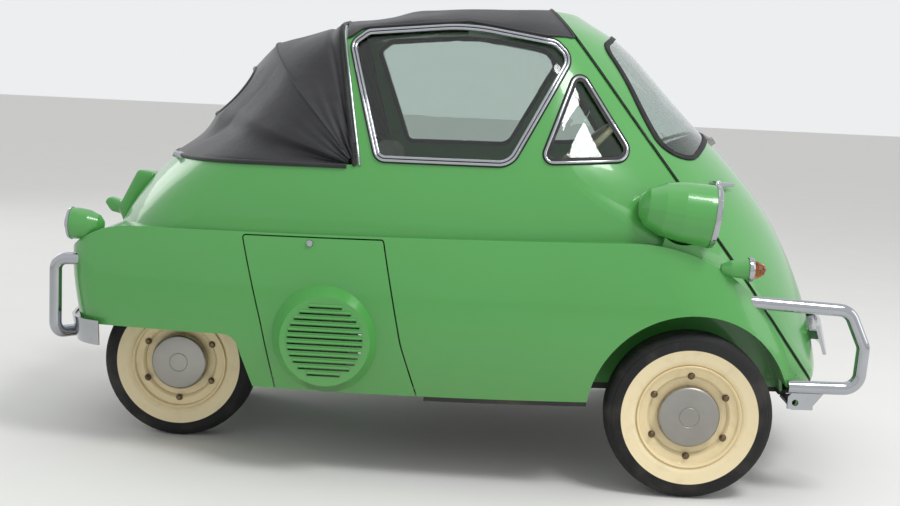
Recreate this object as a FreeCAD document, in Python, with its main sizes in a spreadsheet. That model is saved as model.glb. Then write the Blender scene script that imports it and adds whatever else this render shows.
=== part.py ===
import FreeCAD, Part
import math
import os
import Sketcher

Vector = FreeCAD.Vector

# Bubble car, four wheels, one front door. Millimetres, +X forward, +Y the car's left, +Z up.
# The origin is on the ground, midway between the ends of the bumpers.

# Driving dimensions: alias, value, what it measures
DIMENSIONS = (
    ("wheelbase", 1500, "front axle to rear axle"),
    ("front_axle_x", 683, "front axle ahead of the origin"),
    ("front_track", 1200, "between the middles of the front tyres"),
    ("rear_track", 520, "between the middles of the rear tyres"),
    ("tyre_radius", 232, "rolling radius of the unloaded tyre"),
    ("tyre_width", 122, "widest place of the tyre"),
    ("rim_radius", 141, "bead seat of the wheel"),
    ("rim_width", 90, "between the flanges"),
    ("recess_radius", 108, "step inside the ring of bolts"),
    ("hub_cap_radius", 85, "plain domed hub cap"),
    ("hub_cap_height", 34, "dome of the hub cap"),
    ("drum_radius", 92, "brake drum"),
    ("kingpin_y", 500, "kingpin from the middle plane"),
    ("kingpin_radius", 11, "steering pivot pin"),
    ("axle_radius", 13, "stub axles and rear shaft"),
    ("running_gap", 0.05, "radial clearance of pins and shafts"),
    ("body_rake", 1.6, "degrees that the body sits nose up"),
    ("rake_height", 690, "height of the point that the body is raked about"),
    ("wall", 22, "body wall and door, skin to lining"),
    ("seam_gap", 7, "gap round the front door"),
    ("seam_x", 302, "seam of the door at the height seam_z"),
    ("seam_z", 1295, "height where the seam is at seam_x"),
    ("seam_slope", 1.3, "fall of the seam for each millimetre forward"),
    ("crease_height", 690, "crease between fenders and upper body"),
    ("sill_height", 250, "underside of the sills in the body's own frame"),
    ("tail_edge_height", 400, "lower edge of the body round the rear wheels"),
    ("arch_radius", 285, "front wheel arch"),
    ("liner_y", 412, "inner face of the front wheel wells"),
    ("liner_wall", 9, "sheet of the wheel wells"),
    ("fabric", 8, "thickness of the folding roof"),
    ("glass", 5, "window panes"),
    ("frame_width", 15, "window frames seen from outside"),
    ("frame_proud", 5, "window frames above the skin"),
    ("fit_gap", 0.3, "clearance between curved faces that sit together"),
    ("floor_z", 262, "underside of the floor"),
    ("floor_thickness", 14, "floor with its ribs"),
    ("frame_tube_y", 255, "middle of the chassis side tubes"),
    ("frame_tube_radius", 20, "chassis side tubes"),
    ("seat_width", 1010, "bench seat"),
    ("seat_height", 560, "top of the seat cushion"),
    ("cushion_height", 120, "thickness of the seat cushion"),
    ("steering_x", 366, "middle of the steering wheel"),
    ("steering_y", 250, "steering wheel from the middle plane"),
    ("steering_z", 871, "height of the steering wheel"),
    ("steering_tilt", 43, "degrees that the steering wheel leans back from level"),
    ("steering_radius", 190, "steering wheel, to the middle of its rim"),
    ("steering_rim", 11, "half thickness of the steering wheel's rim"),
    ("door_hinge_x", 795, "door hinge axis"),
    ("door_hinge_y", 566, "door hinge axis from the middle plane"),
    ("door_hinge_z", 612, "lower end of the door hinge"),
    ("door_hinge_length", 150, "both leaves of the door hinge"),
    ("headlamp_x", 709, "rim of the headlamps"),
    ("headlamp_y", 615, "headlamps from the middle plane"),
    ("headlamp_z", 785, "middle of the headlamp rims"),
    ("headlamp_radius", 88, "headlamp rims"),
    ("headlamp_length", 200, "headlamp shells behind the rim"),
    ("headlamp_tilt", 6, "degrees that the shells point down"),
    ("lamp_wall", 3, "metal of the lamp shells"),
    ("indicator_x", 745, "rear end of the front indicators"),
    ("indicator_y", 622, "front indicators from the middle plane"),
    ("indicator_z", 646, "middle of the front indicators"),
    ("indicator_radius", 32, "chrome ring of the front indicators"),
    ("tail_lamp_x", -1112, "lens end of the tail lamps"),
    ("tail_lamp_y", 420, "tail lamps from the middle plane"),
    ("tail_lamp_z", 655, "middle of the tail lamps"),
    ("tail_lamp_radius", 48, "tail lamp rims"),
    ("bumper_tube", 18, "radius of the tube guards"),
    ("bumper_y", 585, "front tube guards from the middle plane"),
    ("rear_guard_y", 430, "rear tube guards from the middle plane"),
    ("tow_eye_radius", 9, "hole in the front bumper brackets"),
    ("cover_gap", 4, "gap round the engine cover"),
    ("louvre_x", -325, "middle of the engine cover's louvres"),
    ("louvre_z", 397, "height of the middle of the louvres"),
    ("louvre_radius", 112, "flat face with the louvres"),
    ("bulge_radius", 156, "foot of the bulge round the louvres"),
    ("bulge_height", 30, "bulge above the cover's skin"),
    ("louvre_pitch", 17, "from one louvre to the next"),
    ("louvre_slot", 6, "height of one louvre"),
)

doc = FreeCAD.newDocument("bubble_car")
sheet = doc.addObject("Spreadsheet::Sheet", "Sizes")
for line, (alias, value, note) in enumerate(DIMENSIONS, start=1):
    sheet.set(f"A{line}", note)
    sheet.set(f"B{line}", str(value))
    sheet.setAlias(f"B{line}", alias)
doc.recompute()


class Size:
    """A length that knows its number and the formula that binds it to the sheet."""

    def __init__(self, number, formula):
        self.number = float(number)
        self.formula = formula

    def __float__(self):
        return self.number

    def __neg__(self):
        return Size(-self.number, f"(-1 * {self.formula})")

    def __add__(self, other):
        other = as_size(other)
        return Size(self.number + other.number, f"({self.formula} + {other.formula})")

    def __sub__(self, other):
        other = as_size(other)
        return Size(self.number - other.number, f"({self.formula} - {other.formula})")

    def __mul__(self, other):
        other = as_size(other)
        return Size(self.number * other.number, f"({self.formula} * {other.formula})")

    def __truediv__(self, other):
        other = as_size(other)
        return Size(self.number / other.number, f"({self.formula} / {other.formula})")

    def __radd__(self, other):
        return as_size(other) + self

    def __rsub__(self, other):
        return as_size(other) - self

    def __rmul__(self, other):
        return as_size(other) * self


def as_size(value):
    return value if isinstance(value, Size) else Size(value, f"{value:g}" if value >= 0 else f"({value:g})")


class Sheet:
    """Reads a cell of the sheet by its alias."""

    def __getattr__(self, alias):
        return Size(sheet.get(alias), f"Sizes.{alias}")


S = Sheet()
NODES = []


def node(part, label):
    """Names a finished sub-part and keeps it for the export."""
    part.Label = label
    NODES.append(part)
    return part


def bind(part, **properties):
    """Binds properties to the sheet. A double underscore stands for the dot of a sub-property."""
    for name, value in properties.items():
        part.setExpression(name.replace("__", "."), as_size(value).formula)
    return part


def place(part, x=0, y=0, z=0, axis=None, degrees=0):
    """Turns a part about an axis and puts it at a place that follows the sheet."""
    if axis is not None:
        part.Placement = FreeCAD.Placement(Vector(0, 0, 0), FreeCAD.Rotation(Vector(*axis), 1))
        bind(part, Placement__Rotation__Angle=degrees)
    return bind(part, Placement__Base__x=x, Placement__Base__y=y, Placement__Base__z=z)


def new(kind, name, **properties):
    return bind(doc.addObject(kind, name), **properties)


def cylinder(name, radius, height, x=0, y=0, z=0, axis="z"):
    """A cylinder along z, along x, or along y with y as its right end."""
    rod = new("Part::Cylinder", name, Radius=radius, Height=height)
    turn = {"z": None, "x": (0, 1, 0), "y": (-1, 0, 0)}[axis]
    return place(rod, x, y, z, turn, 90)


def block(name, length, width, height, x, y, z):
    box = new("Part::Box", name, Length=length, Width=width, Height=height)
    return place(box, x, y, z)


def fuse(name, *parts):
    joined = doc.addObject("Part::MultiFuse", name)
    joined.Shapes = list(parts)
    return joined


def cut(name, base, tool):
    taken = doc.addObject("Part::Cut", name)
    taken.Base = base
    taken.Tool = tool
    return taken


def group(name, *parts):
    """Several solids of one sub-part that do not touch."""
    kept = doc.addObject("Part::Compound", name)
    kept.Links = list(parts)
    return kept


def mirrored(part):
    """The same part on the other side of the middle plane."""
    other = doc.addObject("Part::Mirroring", part.Name + "_mirrored")
    other.Source = part
    other.Normal = Vector(0, 1, 0)
    return other


def pair(label, part):
    return node(group(label, part, mirrored(part)), label)


def plane_of(body, role):
    return next(item for item in body.Origin.OriginFeatures if item.Role == role)


def draw(body, role, corners):
    """A closed sketch of straight lines, each corner tied to the sheet by its two coordinates."""
    sketch = body.newObject("Sketcher::SketchObject", body.Name + "_outline")
    sketch.AttachmentSupport = [(plane_of(body, role), "")]
    sketch.MapMode = "FlatFace"
    count = len(corners)
    ends = [Vector(float(u), float(v), 0) for u, v in corners]
    for index in range(count):
        sketch.addGeometry(Part.LineSegment(ends[index], ends[(index + 1) % count]), False)
    for index in range(count):
        sketch.addConstraint(Sketcher.Constraint("Coincident", index, 2, (index + 1) % count, 1))
    for index, (u, v) in enumerate(corners):
        for kind, value in (("DistanceX", u), ("DistanceY", v)):
            number = sketch.addConstraint(Sketcher.Constraint(kind, index, 1, float(value)))
            if isinstance(value, Size):
                sketch.setExpression(f"Constraints[{number}]", value.formula)
    return sketch


def turned(name, profile):
    """A body turned about the Y axis from a profile of (radius, place along the axis) corners."""
    body = doc.addObject("PartDesign::Body", name)
    sketch = draw(body, "XY_Plane", profile)
    revolution = body.newObject("PartDesign::Revolution", name + "_turned")
    revolution.Profile = sketch
    revolution.ReferenceAxis = (sketch, ["V_Axis"])
    revolution.Angle = 360
    body.Tip = revolution
    return body


def padded(name, role, outline, width):
    """A body made by pushing an outline out by the same width on both sides of its plane."""
    body = doc.addObject("PartDesign::Body", name)
    sketch = draw(body, role, outline)
    pad = body.newObject("PartDesign::Pad", name + "_pad")
    pad.Profile = sketch
    pad.Midplane = True
    bind(pad, Length=width)
    body.Tip = pad
    return body


def solid(label, shape):
    """A sub-part whose shape is made by Part's own functions."""
    part = doc.addObject("Part::Feature", label)
    part.Shape = shape
    return node(part, label)


REAR_AXLE_X = S.front_axle_x - S.wheelbase
AXLE_Z = S.tyre_radius

# Wheels: one profile for each kind of piece, turned about the axle, the outer face towards -Y


def wheel_pieces(name):
    """The tyre, disc, hub cap and brake drum of one wheel, outer face towards the right."""
    half = S.tyre_width / 2
    seat = S.rim_radius + S.fit_gap
    flange = S.rim_width / 2
    tyre = turned(name + "_tyre", [
        (seat, -flange + 1), (S.rim_radius + 11, -flange - 9), (S.rim_radius + 27, -half + 2),
        (S.rim_radius + 46, -half), (S.tyre_radius - 26, -half + 4), (S.tyre_radius - 10, -half + 13),
        (S.tyre_radius - 3, -half + 22), (S.tyre_radius, -20), (S.tyre_radius, 20),
        (S.tyre_radius - 3, half - 22), (S.tyre_radius - 10, half - 13), (S.tyre_radius - 26, half - 4),
        (S.rim_radius + 46, half), (S.rim_radius + 27, half - 2), (S.rim_radius + 11, flange + 9),
        (seat, flange - 1)])
    disc = turned(name + "_disc", [
        (S.rim_radius, -flange), (S.rim_radius + 3, -flange - 7), (S.rim_radius + 1, -flange - 9),
        (S.rim_radius - 4, -flange - 6), (S.rim_radius - 7, -flange + 4), (S.recess_radius + 6, -flange + 7),
        (S.recess_radius + 1, -flange + 12), (S.recess_radius - 2, -flange + 19),
        (S.hub_cap_radius - 6, -flange + 21), (S.axle_radius + S.running_gap, -flange + 21),
        (S.axle_radius + S.running_gap, -flange + 31), (S.recess_radius, -flange + 27),
        (S.rim_radius - 12, -flange + 17), (S.rim_radius - 8, flange + 3), (S.rim_radius - 3, flange + 9),
        (S.rim_radius + 2, flange + 8), (S.rim_radius, flange)])
    face = -flange + 20.7
    cap = turned(name + "_hub_cap", [
        (S.hub_cap_radius - 8, face), (S.hub_cap_radius, face - 3), (S.hub_cap_radius - 1, face - 8),
        (S.hub_cap_radius - 10, face - 14), (S.hub_cap_radius - 26, face - S.hub_cap_height + 8),
        (S.hub_cap_radius - 50, face - S.hub_cap_height + 2), (0, face - S.hub_cap_height),
        (0, face - S.hub_cap_height + 4), (S.hub_cap_radius - 50, face - S.hub_cap_height + 6),
        (S.hub_cap_radius - 28, face - S.hub_cap_height + 12), (S.hub_cap_radius - 13, face - 12),
        (S.hub_cap_radius - 13, face)])
    web = -flange + 31
    drum = turned(name + "_drum", [
        (S.axle_radius + S.running_gap, web), (S.drum_radius, web), (S.drum_radius, web + 38),
        (S.drum_radius - 6, web + 38), (S.drum_radius - 6, web + 8), (S.axle_radius + 14, web + 8),
        (S.axle_radius + 14, web + 24), (S.axle_radius + S.running_gap, web + 24)])
    return tyre, disc, cap, drum


for side, sign in (("right", -1), ("left", 1)):
    kinds = ("tyre", "wheel_disc", "hub_cap", "brake_drum")
    for kind, piece in zip(kinds, wheel_pieces("front_" + side)):
        turn = ((0, 0, 1), 180) if side == "left" else (None, 0)
        place(piece, S.front_axle_x, sign * S.front_track / 2, AXLE_Z, *turn)
        node(piece, f"front_{kind}_{side}")

rear = wheel_pieces("rear")
for kind, piece in zip(("tyres", "wheel_discs", "hub_caps", "brake_drums"), rear):
    place(piece, REAR_AXLE_X, -S.rear_track / 2, AXLE_Z)
    pair("rear_" + kind, piece)
shaft_length = S.rear_track + S.rim_width - 42
node(cylinder("rear_axle_shaft", S.axle_radius, shaft_length, REAR_AXLE_X, -shaft_length / 2, AXLE_Z, "y"),
     "rear_axle_shaft")

# Steering knuckles: a pin between two lugs, a stub axle and an arm for the track rod

LUG_GAP = 0.5
BOSS_HEIGHT = 76


def knuckle(side, sign):
    name = "knuckle_" + side
    y = sign * S.kingpin_y
    pin = cylinder(name + "_pin", S.kingpin_radius, BOSS_HEIGHT + 40, S.front_axle_x, y,
                   AXLE_Z - BOSS_HEIGHT / 2 - 20)
    lugs = [block(f"{name}_lug_{end}", 44, 60, 14, S.front_axle_x - 22, y - 22 if sign > 0 else y - 38, z)
            for end, z in (("top", AXLE_Z + BOSS_HEIGHT / 2 + LUG_GAP),
                           ("bottom", AXLE_Z - BOSS_HEIGHT / 2 - 14 - LUG_GAP))]
    plate = block(name + "_plate", 44, 12, BOSS_HEIGHT + 28 + 2 * LUG_GAP, S.front_axle_x - 22,
                  y + (26 if sign > 0 else -38), AXLE_Z - BOSS_HEIGHT / 2 - 14 - LUG_GAP)
    reach = S.front_track / 2 - S.rim_width / 2 + 50 - S.kingpin_y - 36
    start = y + 36 if sign > 0 else y - 36 - reach
    stub = cylinder(name + "_stub", S.axle_radius, reach, S.front_axle_x, start, AXLE_Z, "y")
    arm = block(name + "_arm", 110, 14, 12, S.front_axle_x - 118, y - 7 - sign * 12,
                AXLE_Z - BOSS_HEIGHT / 2 - 13 - LUG_GAP)
    return node(fuse(name, pin, *lugs, plate, stub, arm), name)


for side, sign in (("right", -1), ("left", 1)):
    knuckle(side, sign)


# Bodywork. It is drawn level, in the body's own frame, and raked nose up as the car stands.

# height, nose x, tail x, half width, nose radius, tail radius, front corner, rear corner,
# and how much of an inner skin's depth goes downwards
UPPER_BODY = (
    (230, 1103, -1090, 550, 900, 850, 200, 280, 0),
    (345, 1124, -1110, 580, 860, 850, 220, 280, 0),
    (475, 1089, -1120, 605, 760, 850, 250, 290, 0),
    (660, 1008, -1060, 635, 690, 800, 290, 300, 0.1),
    (900, 826, -868, 598, 600, 680, 290, 300, 0.2),
    (1100, 637, -672, 503, 560, 560, 240, 250, 0.3),
    (1226, 518, -560, 432, 520, 500, 190, 220, 0.5),
    (1285, 432, -370, 385, 490, 470, 150, 180, 0.8),
    (1315, 384, -215, 318, 400, 390, 120, 140, 1),
    (1331, 315, -90, 240, 300, 290, 90, 100, 1))
LOWER_BODY = (
    (200, 1215, -1090, 650, 800, 2200, 420, 130, 0),
    (350, 1200, -1128, 683, 800, 2200, 420, 130, 0),
    (480, 1140, -1150, 690, 800, 2200, 420, 130, 0),
    (600, 1085, -1158, 680, 800, 2200, 420, 130, 0),
    (720, 1025, -1128, 650, 800, 2200, 410, 140, 0))
UPPER_SIDE = (150, 3600)
LOWER_SIDE = (300, 4500)
CREASE_STRAIGHT = (-920, 500)
CREASE_DROP = (310, 470)
TAIL_STEP = (-604, -552, 44)
FENDER_END = (866, 549, 1.6)
FENDER_FOOT = (700, 290)
FAR = 3000

rake = FreeCAD.Placement(Vector(0, 0, float(S.rake_height)), FreeCAD.Rotation(Vector(0, 1, 0), -float(S.body_rake)),
                         Vector(0, 0, 0))
rake.Base = Vector(0, 0, float(S.rake_height)) - rake.Rotation.multVec(Vector(0, 0, float(S.rake_height)))


def raked(shape):
    shape.Placement = rake.multiply(shape.Placement)
    return shape


def tangent_corner(first, first_radius, second, second_radius, radius, near):
    """The ends and middle of an arc that touches two circles from inside."""
    reach_first, reach_second = first_radius - radius, second_radius - radius
    line = second - first
    along = (reach_first ** 2 - reach_second ** 2 + line.Length ** 2) / (2 * line.Length)
    aside = math.sqrt(reach_first ** 2 - along ** 2)
    foot = first + line * (along / line.Length)
    normal = Vector(-line.y, line.x, 0) * (aside / line.Length)
    middle = min((foot + normal, foot - normal), key=lambda point: (point - near).Length)
    ends = [centre + (middle - centre).normalize() * big
            for centre, big in ((first, first_radius), (second, second_radius))]
    crown = middle + ((ends[0] + ends[1]) * 0.5 - middle).normalize() * radius
    return ends[0], crown, ends[1]


def plan_section(row, side, inset):
    """One level of the body: nose, sides and tail as arcs that run into each other."""
    height, nose_x, tail_x, half, nose_radius, tail_radius, front, rear, sink = row
    widest_x, side_radius = side
    nose = Vector(nose_x - nose_radius, 0, 0)
    tail = Vector(tail_x + tail_radius, 0, 0)
    flank = Vector(widest_x, half - side_radius, 0)
    a, b, c = tangent_corner(nose, nose_radius - inset, flank, side_radius - inset, front - inset,
                             Vector(nose_x - front, half - front, 0))
    f, e, d = tangent_corner(tail, tail_radius - inset, flank, side_radius - inset, rear - inset,
                             Vector(tail_x + rear, half - rear, 0))
    crest = flank + ((c + d) * 0.5 - flank).normalize() * (side_radius - inset)
    across = [Vector(point.x, -point.y, 0) for point in (a, b, c, crest, d, e, f)]
    a_, b_, c_, crest_, d_, e_, f_ = across
    arcs = ((a_, Vector(nose_x - inset, 0, 0), a), (a, b, c), (c, crest, d), (d, e, f),
            (f, Vector(tail_x + inset, 0, 0), f_), (f_, e_, d_), (d_, crest_, c_), (c_, b_, a_))
    wire = Part.Wire([Part.Arc(*points).toShape() for points in arcs])
    wire.translate(Vector(0, 0, height - sink * inset))
    return wire


def side_prism(points, low=-FAR, high=FAR):
    """A solid seen from the side as a polygon, from one y to another."""
    wire = Part.makePolygon([Vector(x, low, z) for x, z in points] + [Vector(points[0][0], low, points[0][1])])
    return Part.Face(wire).extrude(Vector(0, high - low, 0))


def rounded(corners):
    """A closed flat outline: corners (point, radius) joined by lines and rounded by arcs."""
    count = len(corners)
    bends = []
    for index, (here, radius) in enumerate(corners):
        back = corners[index - 1][0] - here
        on = corners[(index + 1) % count][0] - here
        half = back.getAngle(on) / 2
        setback = radius / math.tan(half)
        back.normalize()
        on.normalize()
        inward = (back + on).normalize()
        crown = here + inward * (radius / math.sin(half) - radius)
        bends.append((here + back * setback, crown, here + on * setback))
    edges = []
    for index, bend in enumerate(bends):
        edges.append(Part.Arc(*bend).toShape())
        following = bends[(index + 1) % count][0]
        if (following - bend[2]).Length > 0.01:
            edges.append(Part.LineSegment(bend[2], following).toShape())
    return Part.Wire(edges)


def side_outline(corners):
    """An outline seen from the side: corners (x, z, radius)."""
    return rounded([(Vector(x, 0, z), radius) for x, z, radius in corners])


def through(wire, grow=0.0):
    """A side outline, grown or shrunk, pushed through the whole car."""
    outline = wire.makeOffset2D(grow) if abs(grow) > 1e-6 else wire
    face = Part.Face(outline)
    face.translate(Vector(0, -FAR, 0))
    return face.extrude(Vector(0, 2 * FAR, 0))


lofts = {}


def upper(inset):
    if inset not in lofts:
        sections = [plan_section(row, UPPER_SIDE, inset) for row in UPPER_BODY]
        lofts[inset] = raked(Part.makeLoft(sections, True, False))
    return lofts[inset]


def lines(points):
    """Straight edges from point to point."""
    return [Part.makeLine(one, two) for one, two in zip(points, points[1:]) if (one - two).Length > 0.01]


def rear_step():
    """The body's edge ahead of the rear wheel, up from the sill and round into the tail's level edge, and its ends."""
    top_x, sill_x, radius = TAIL_STEP
    top = Vector(top_x, 0, float(S.tail_edge_height))
    foot = Vector(sill_x, 0, float(S.sill_height))
    up = (top - foot).normalize()
    half = up.getAngle(Vector(1, 0, 0)) / 2
    setback = radius * math.tan(math.pi / 2 - half)
    inward = (Vector(-1, 0, 0) - up).normalize()
    bend = top - up * setback
    level = top + Vector(-setback, 0, 0)
    crown = top + inward * (radius / math.sin(half) - radius)
    return [Part.makeLine(foot, bend), Part.Arc(bend, crown, level).toShape()], [foot, level]


def lower_profile(inset, bottom):
    """The fenders' side outline: level crease, falling to the tail and faster to the nose."""
    top = float(S.crease_height) - inset
    rear_x, front_x = CREASE_STRAIGHT
    rear_drop, front_drop = (radius - inset for radius in CREASE_DROP)
    rear_end, front_end = rear_x - 0.98 * rear_drop, front_x + 0.98 * front_drop
    on_rear = [Vector(x, 0, top - rear_drop + math.sqrt(rear_drop ** 2 - (x - rear_x) ** 2))
               for x in (rear_end, (rear_end + rear_x) / 2)]
    on_front = [Vector(x, 0, top - front_drop + math.sqrt(front_drop ** 2 - (x - front_x) ** 2))
                for x in ((front_x + front_end) / 2, front_end)]
    crest = [Vector(rear_x, 0, top), Vector(front_x, 0, top)]
    low_tail = float(S.tail_edge_height) if bottom is None else bottom
    low_sill = float(S.sill_height) if bottom is None else bottom
    foot_x, foot_z = FENDER_FOOT
    low_foot = foot_z if bottom is None else bottom
    corners = [on_front[1], Vector(1400, 0, on_front[1].z), Vector(1400, 0, low_foot),
               Vector(foot_x, 0, low_foot), Vector(foot_x, 0, low_sill)]
    tail = [Vector(-1400, 0, low_tail), Vector(-1400, 0, on_rear[0].z), on_rear[0]]
    step, ends = rear_step() if bottom is None else ([], tail[:1])
    edges = [Part.Arc(on_rear[0], on_rear[1], crest[0]).toShape(), Part.makeLine(*crest),
             Part.Arc(crest[1], on_front[0], on_front[1]).toShape()]
    edges += lines(corners + ends[:1]) + step + lines(ends[1:] + tail)
    face = Part.Face(Part.Wire(edges))
    face.translate(Vector(0, -FAR, 0))
    return face.extrude(Vector(0, 2 * FAR, 0))


def lower(inset, bottom=None):
    if (inset, bottom) not in lofts:
        sections = [plan_section(row, LOWER_SIDE, inset) for row in LOWER_BODY]
        body = Part.makeLoft(sections, True, False).common(lower_profile(inset, bottom))
        lofts[inset, bottom] = raked(body)
    return lofts[inset, bottom]


def seam_at(z, ahead):
    slope = float(S.seam_slope)
    return float(S.seam_x) + (float(S.seam_z) - z) / slope + ahead * math.hypot(1, slope) / slope


def ahead_of_seam(ahead):
    return side_prism([(seam_at(-200, ahead), -200), (FAR, -200), (FAR, 2000), (seam_at(2000, ahead), 2000)])


def ahead_of_fender(ahead):
    x, z, slope = FENDER_END
    return side_prism([(x + ahead + (z + 200) / slope, -200), (FAR, -200), (FAR, 2000),
                       (x + ahead + (z - 2000) / slope, 2000)])


WALL = float(S.wall)
HALF_GAP = float(S.seam_gap) / 2
step_edges, step_ends = rear_step()
around = [step_ends[1], Vector(-FAR, 0, float(S.tail_edge_height)), Vector(-FAR, 0, 2000), Vector(FAR, 0, 2000),
          Vector(FAR, 0, float(S.sill_height)), step_ends[0]]
above_tail = raked(through(Part.Wire(step_edges + lines(around))))
bubble_outside = upper(0).common(above_tail)
fenders_outside = lower(0).cut(ahead_of_fender(0)).cut(ahead_of_seam(-HALF_GAP))
bubble_behind_seam = bubble_outside.cut(ahead_of_seam(-HALF_GAP))
outside = bubble_behind_seam.fuse(fenders_outside)

# Wheel wells: a drum of sheet round each front wheel, open outwards and below


def well(side, radius, inner_y, outer_y=800):
    drum = Part.makeCylinder(radius, outer_y - inner_y, Vector(float(S.front_axle_x), side * inner_y, float(AXLE_Z)),
                             Vector(0, side, 0))
    return drum


arch, liner, liner_y = float(S.arch_radius), float(S.liner_wall), float(S.liner_y)
fenders_inside = lower(WALL, bottom=100).cut(ahead_of_fender(-liner)).cut(ahead_of_seam(-HALF_GAP - liner))
liners = [well(side, arch + liner, liner_y - liner).common(outside).cut(well(side, arch, liner_y))
          for side in (-1, 1)]


def skin_y(x, z, skin):
    """How far the right side of a skin is from the middle plane at a place seen from the side."""
    line = Part.makeLine(Vector(x, -FAR, z), Vector(x, 0, z))
    return min(vertex.Point.y for vertex in skin.section(line).Vertexes)


# Window openings, seen from the side: corners (x, z, radius)
MAIN_WINDOW = side_outline(((-214, 889, 34), (160, 893, 60), (322, 1200, 46), (272, 1246, 40), (20, 1284, 600),
                       (-268, 1254, 40), (-316, 1215, 34)))
VENT_WINDOW = side_outline(((236, 904, 26), (512, 920, 34), (334, 1180, 26)))
# The windscreen lies square to the seam: corners (y, height up the seam, radius)
WINDSCREEN = ((-300, -106, 75), (300, -106, 75), (486, -534, 95), (-486, -534, 95))
UP_SEAM = Vector(-1, 0, float(S.seam_slope)).normalize()
OUT_OF_SEAM = Vector(float(S.seam_slope), 0, 1).normalize()


def windscreen_prism(grow=0.0):
    origin = Vector(float(S.seam_x), 0, float(S.seam_z)) - OUT_OF_SEAM * 50
    outline = rounded([(origin + Vector(0, y, 0) + UP_SEAM * up, radius) for y, up, radius in WINDSCREEN])
    if abs(grow) > 1e-6:
        outline = outline.makeOffset2D(grow)
    return Part.Face(outline).extrude(OUT_OF_SEAM * 600)


hood_line = ((-265, 876), (-353, 1300), (-365, 1500))
hood_region = side_prism([(-FAR, 868), (-851, 868), hood_line[0], hood_line[1], hood_line[2], (-FAR, 1500)])
roof_region = side_prism([(-340, 1256), (-290, 1264), (20, 1293), (280, 1262), (seam_at(1256, -HALF_GAP), 1256),
                          (seam_at(1500, -HALF_GAP), 1500), hood_line[2], hood_line[1]])
FABRIC = float(S.fabric)
fabric_layer = upper(-2).cut(upper(FABRIC - 2))
roof_opening = Part.makeBox(FAR, 640, 400, Vector(-FAR, -320, 1180)).cut(ahead_of_seam(-60))
# Engine cover on the right side, with a louvred bulge
COVER = side_outline(((-584, 668, 10), (-178, 679, 10), (-118, 395, 300), (-66, 242, 6), (-474, 231, 6),
                      (-520, 430, 300)))


def louvre_bulge(grow=0.0):
    """The round bulge, from its foot on the cover to its flat face."""
    x, z = float(S.louvre_x), float(S.louvre_z)
    skin = 664 + float(S.bulge_height)
    foot, face = float(S.bulge_radius) + grow, float(S.louvre_radius) + 12 + grow
    return Part.makeCone(foot, face, 70, Vector(x, -skin + 70 - grow, z), Vector(0, -1, 0))


right_half = Part.makeBox(2 * FAR, FAR, 2 * FAR, Vector(-FAR, -FAR - 450, -FAR))
cover_gap = float(S.cover_gap)
cover_hole = through(COVER).common(right_half)
shell_tools = [upper(WALL), fenders_inside, well(-1, arch, liner_y), well(1, arch, liner_y), hood_region,
               roof_region.common(upper(-4).cut(upper(FABRIC - 1.7))), roof_opening,
               through(MAIN_WINDOW), through(VENT_WINDOW), cover_hole]
shell = outside.cut(shell_tools).fuse(liners)
# Engine cover's hinge: two short pins on the shell, each in a boss at a lower corner of the cover
COVER_PIN, COVER_BOSS = 3, 6.5
rear_boss, front_boss = [Vector(x, skin_y(x, 272, outside) + 8, 272) for x in (-456, -92)]
hinge_way = (front_boss - rear_boss).normalize()
cover_pins = [Part.makeCylinder(COVER_PIN, 40, rear_boss - hinge_way * 34, hinge_way),
              Part.makeCylinder(COVER_PIN, 40, front_boss - hinge_way * 6, hinge_way)]
cover_bosses = [Part.makeCylinder(COVER_BOSS, 18, boss - hinge_way * 9, hinge_way) for boss in (rear_boss, front_boss)]
cover_bores = [Part.makeCylinder(COVER_PIN + float(S.running_gap), 60, boss - hinge_way * 30, hinge_way)
               for boss in (rear_boss, front_boss)]
shell = shell.fuse(cover_pins)
hinge = {name: float(getattr(S, "door_hinge_" + name)) for name in ("x", "y", "z", "length")}
PIN_RADIUS = 6
hinge_pin = Part.makeCylinder(PIN_RADIUS, hinge["length"], Vector(hinge["x"], hinge["y"], hinge["z"] - 30))
shell = shell.fuse(hinge_pin)
cover_skin = outside.cut([upper(8), lower(8, bottom=100)]).common(through(COVER, -cover_gap).common(right_half))
cover_dish = louvre_bulge().cut(louvre_bulge(-6))
cover = cover_skin.cut(louvre_bulge(-6)).fuse(cover_dish.common(right_half.cut(lower(8, bottom=100))))
slots = []
for index in range(12):
    z = float(S.louvre_z) + (index - 5.5) * float(S.louvre_pitch)
    half = math.sqrt(max((float(S.louvre_radius) - 8) ** 2 - (z - float(S.louvre_z)) ** 2, 0))
    slots.append(Part.makeBox(2 * half, 120, float(S.louvre_slot),
                              Vector(float(S.louvre_x) - half, -760, z - float(S.louvre_slot) / 2)))
cover = cover.cut(slots).fuse(cover_bosses).cut(cover_bores)
solid("engine_cover", cover)
solid("body_shell", shell)
roof = fabric_layer.common(roof_region)
rear_window_face = rounded([(Vector(-FAR, y, z), 60) for y, z in ((-235, 985), (235, 985), (205, 1125), (-205, 1125))])
rear_window_way = Part.Face(rear_window_face).extrude(Vector(FAR - 100, 0, 0))
hood = fabric_layer.common(hood_region).cut(rear_window_way)
inner_window = Part.Face(rear_window_face.makeOffset2D(-float(S.fit_gap))).extrude(Vector(FAR - 100, 0, 0))
rear_pane = upper(0).cut(upper(3)).common(inner_window)
solid("hood_rear_window", rear_pane)
solid("roof_fabric", roof)
solid("hood_fabric", hood)


def both(shape):
    """A piece of the right side and its like on the left."""
    return Part.makeCompound([shape, shape.mirror(Vector(0, 0, 0), Vector(0, 1, 0))])


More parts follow.
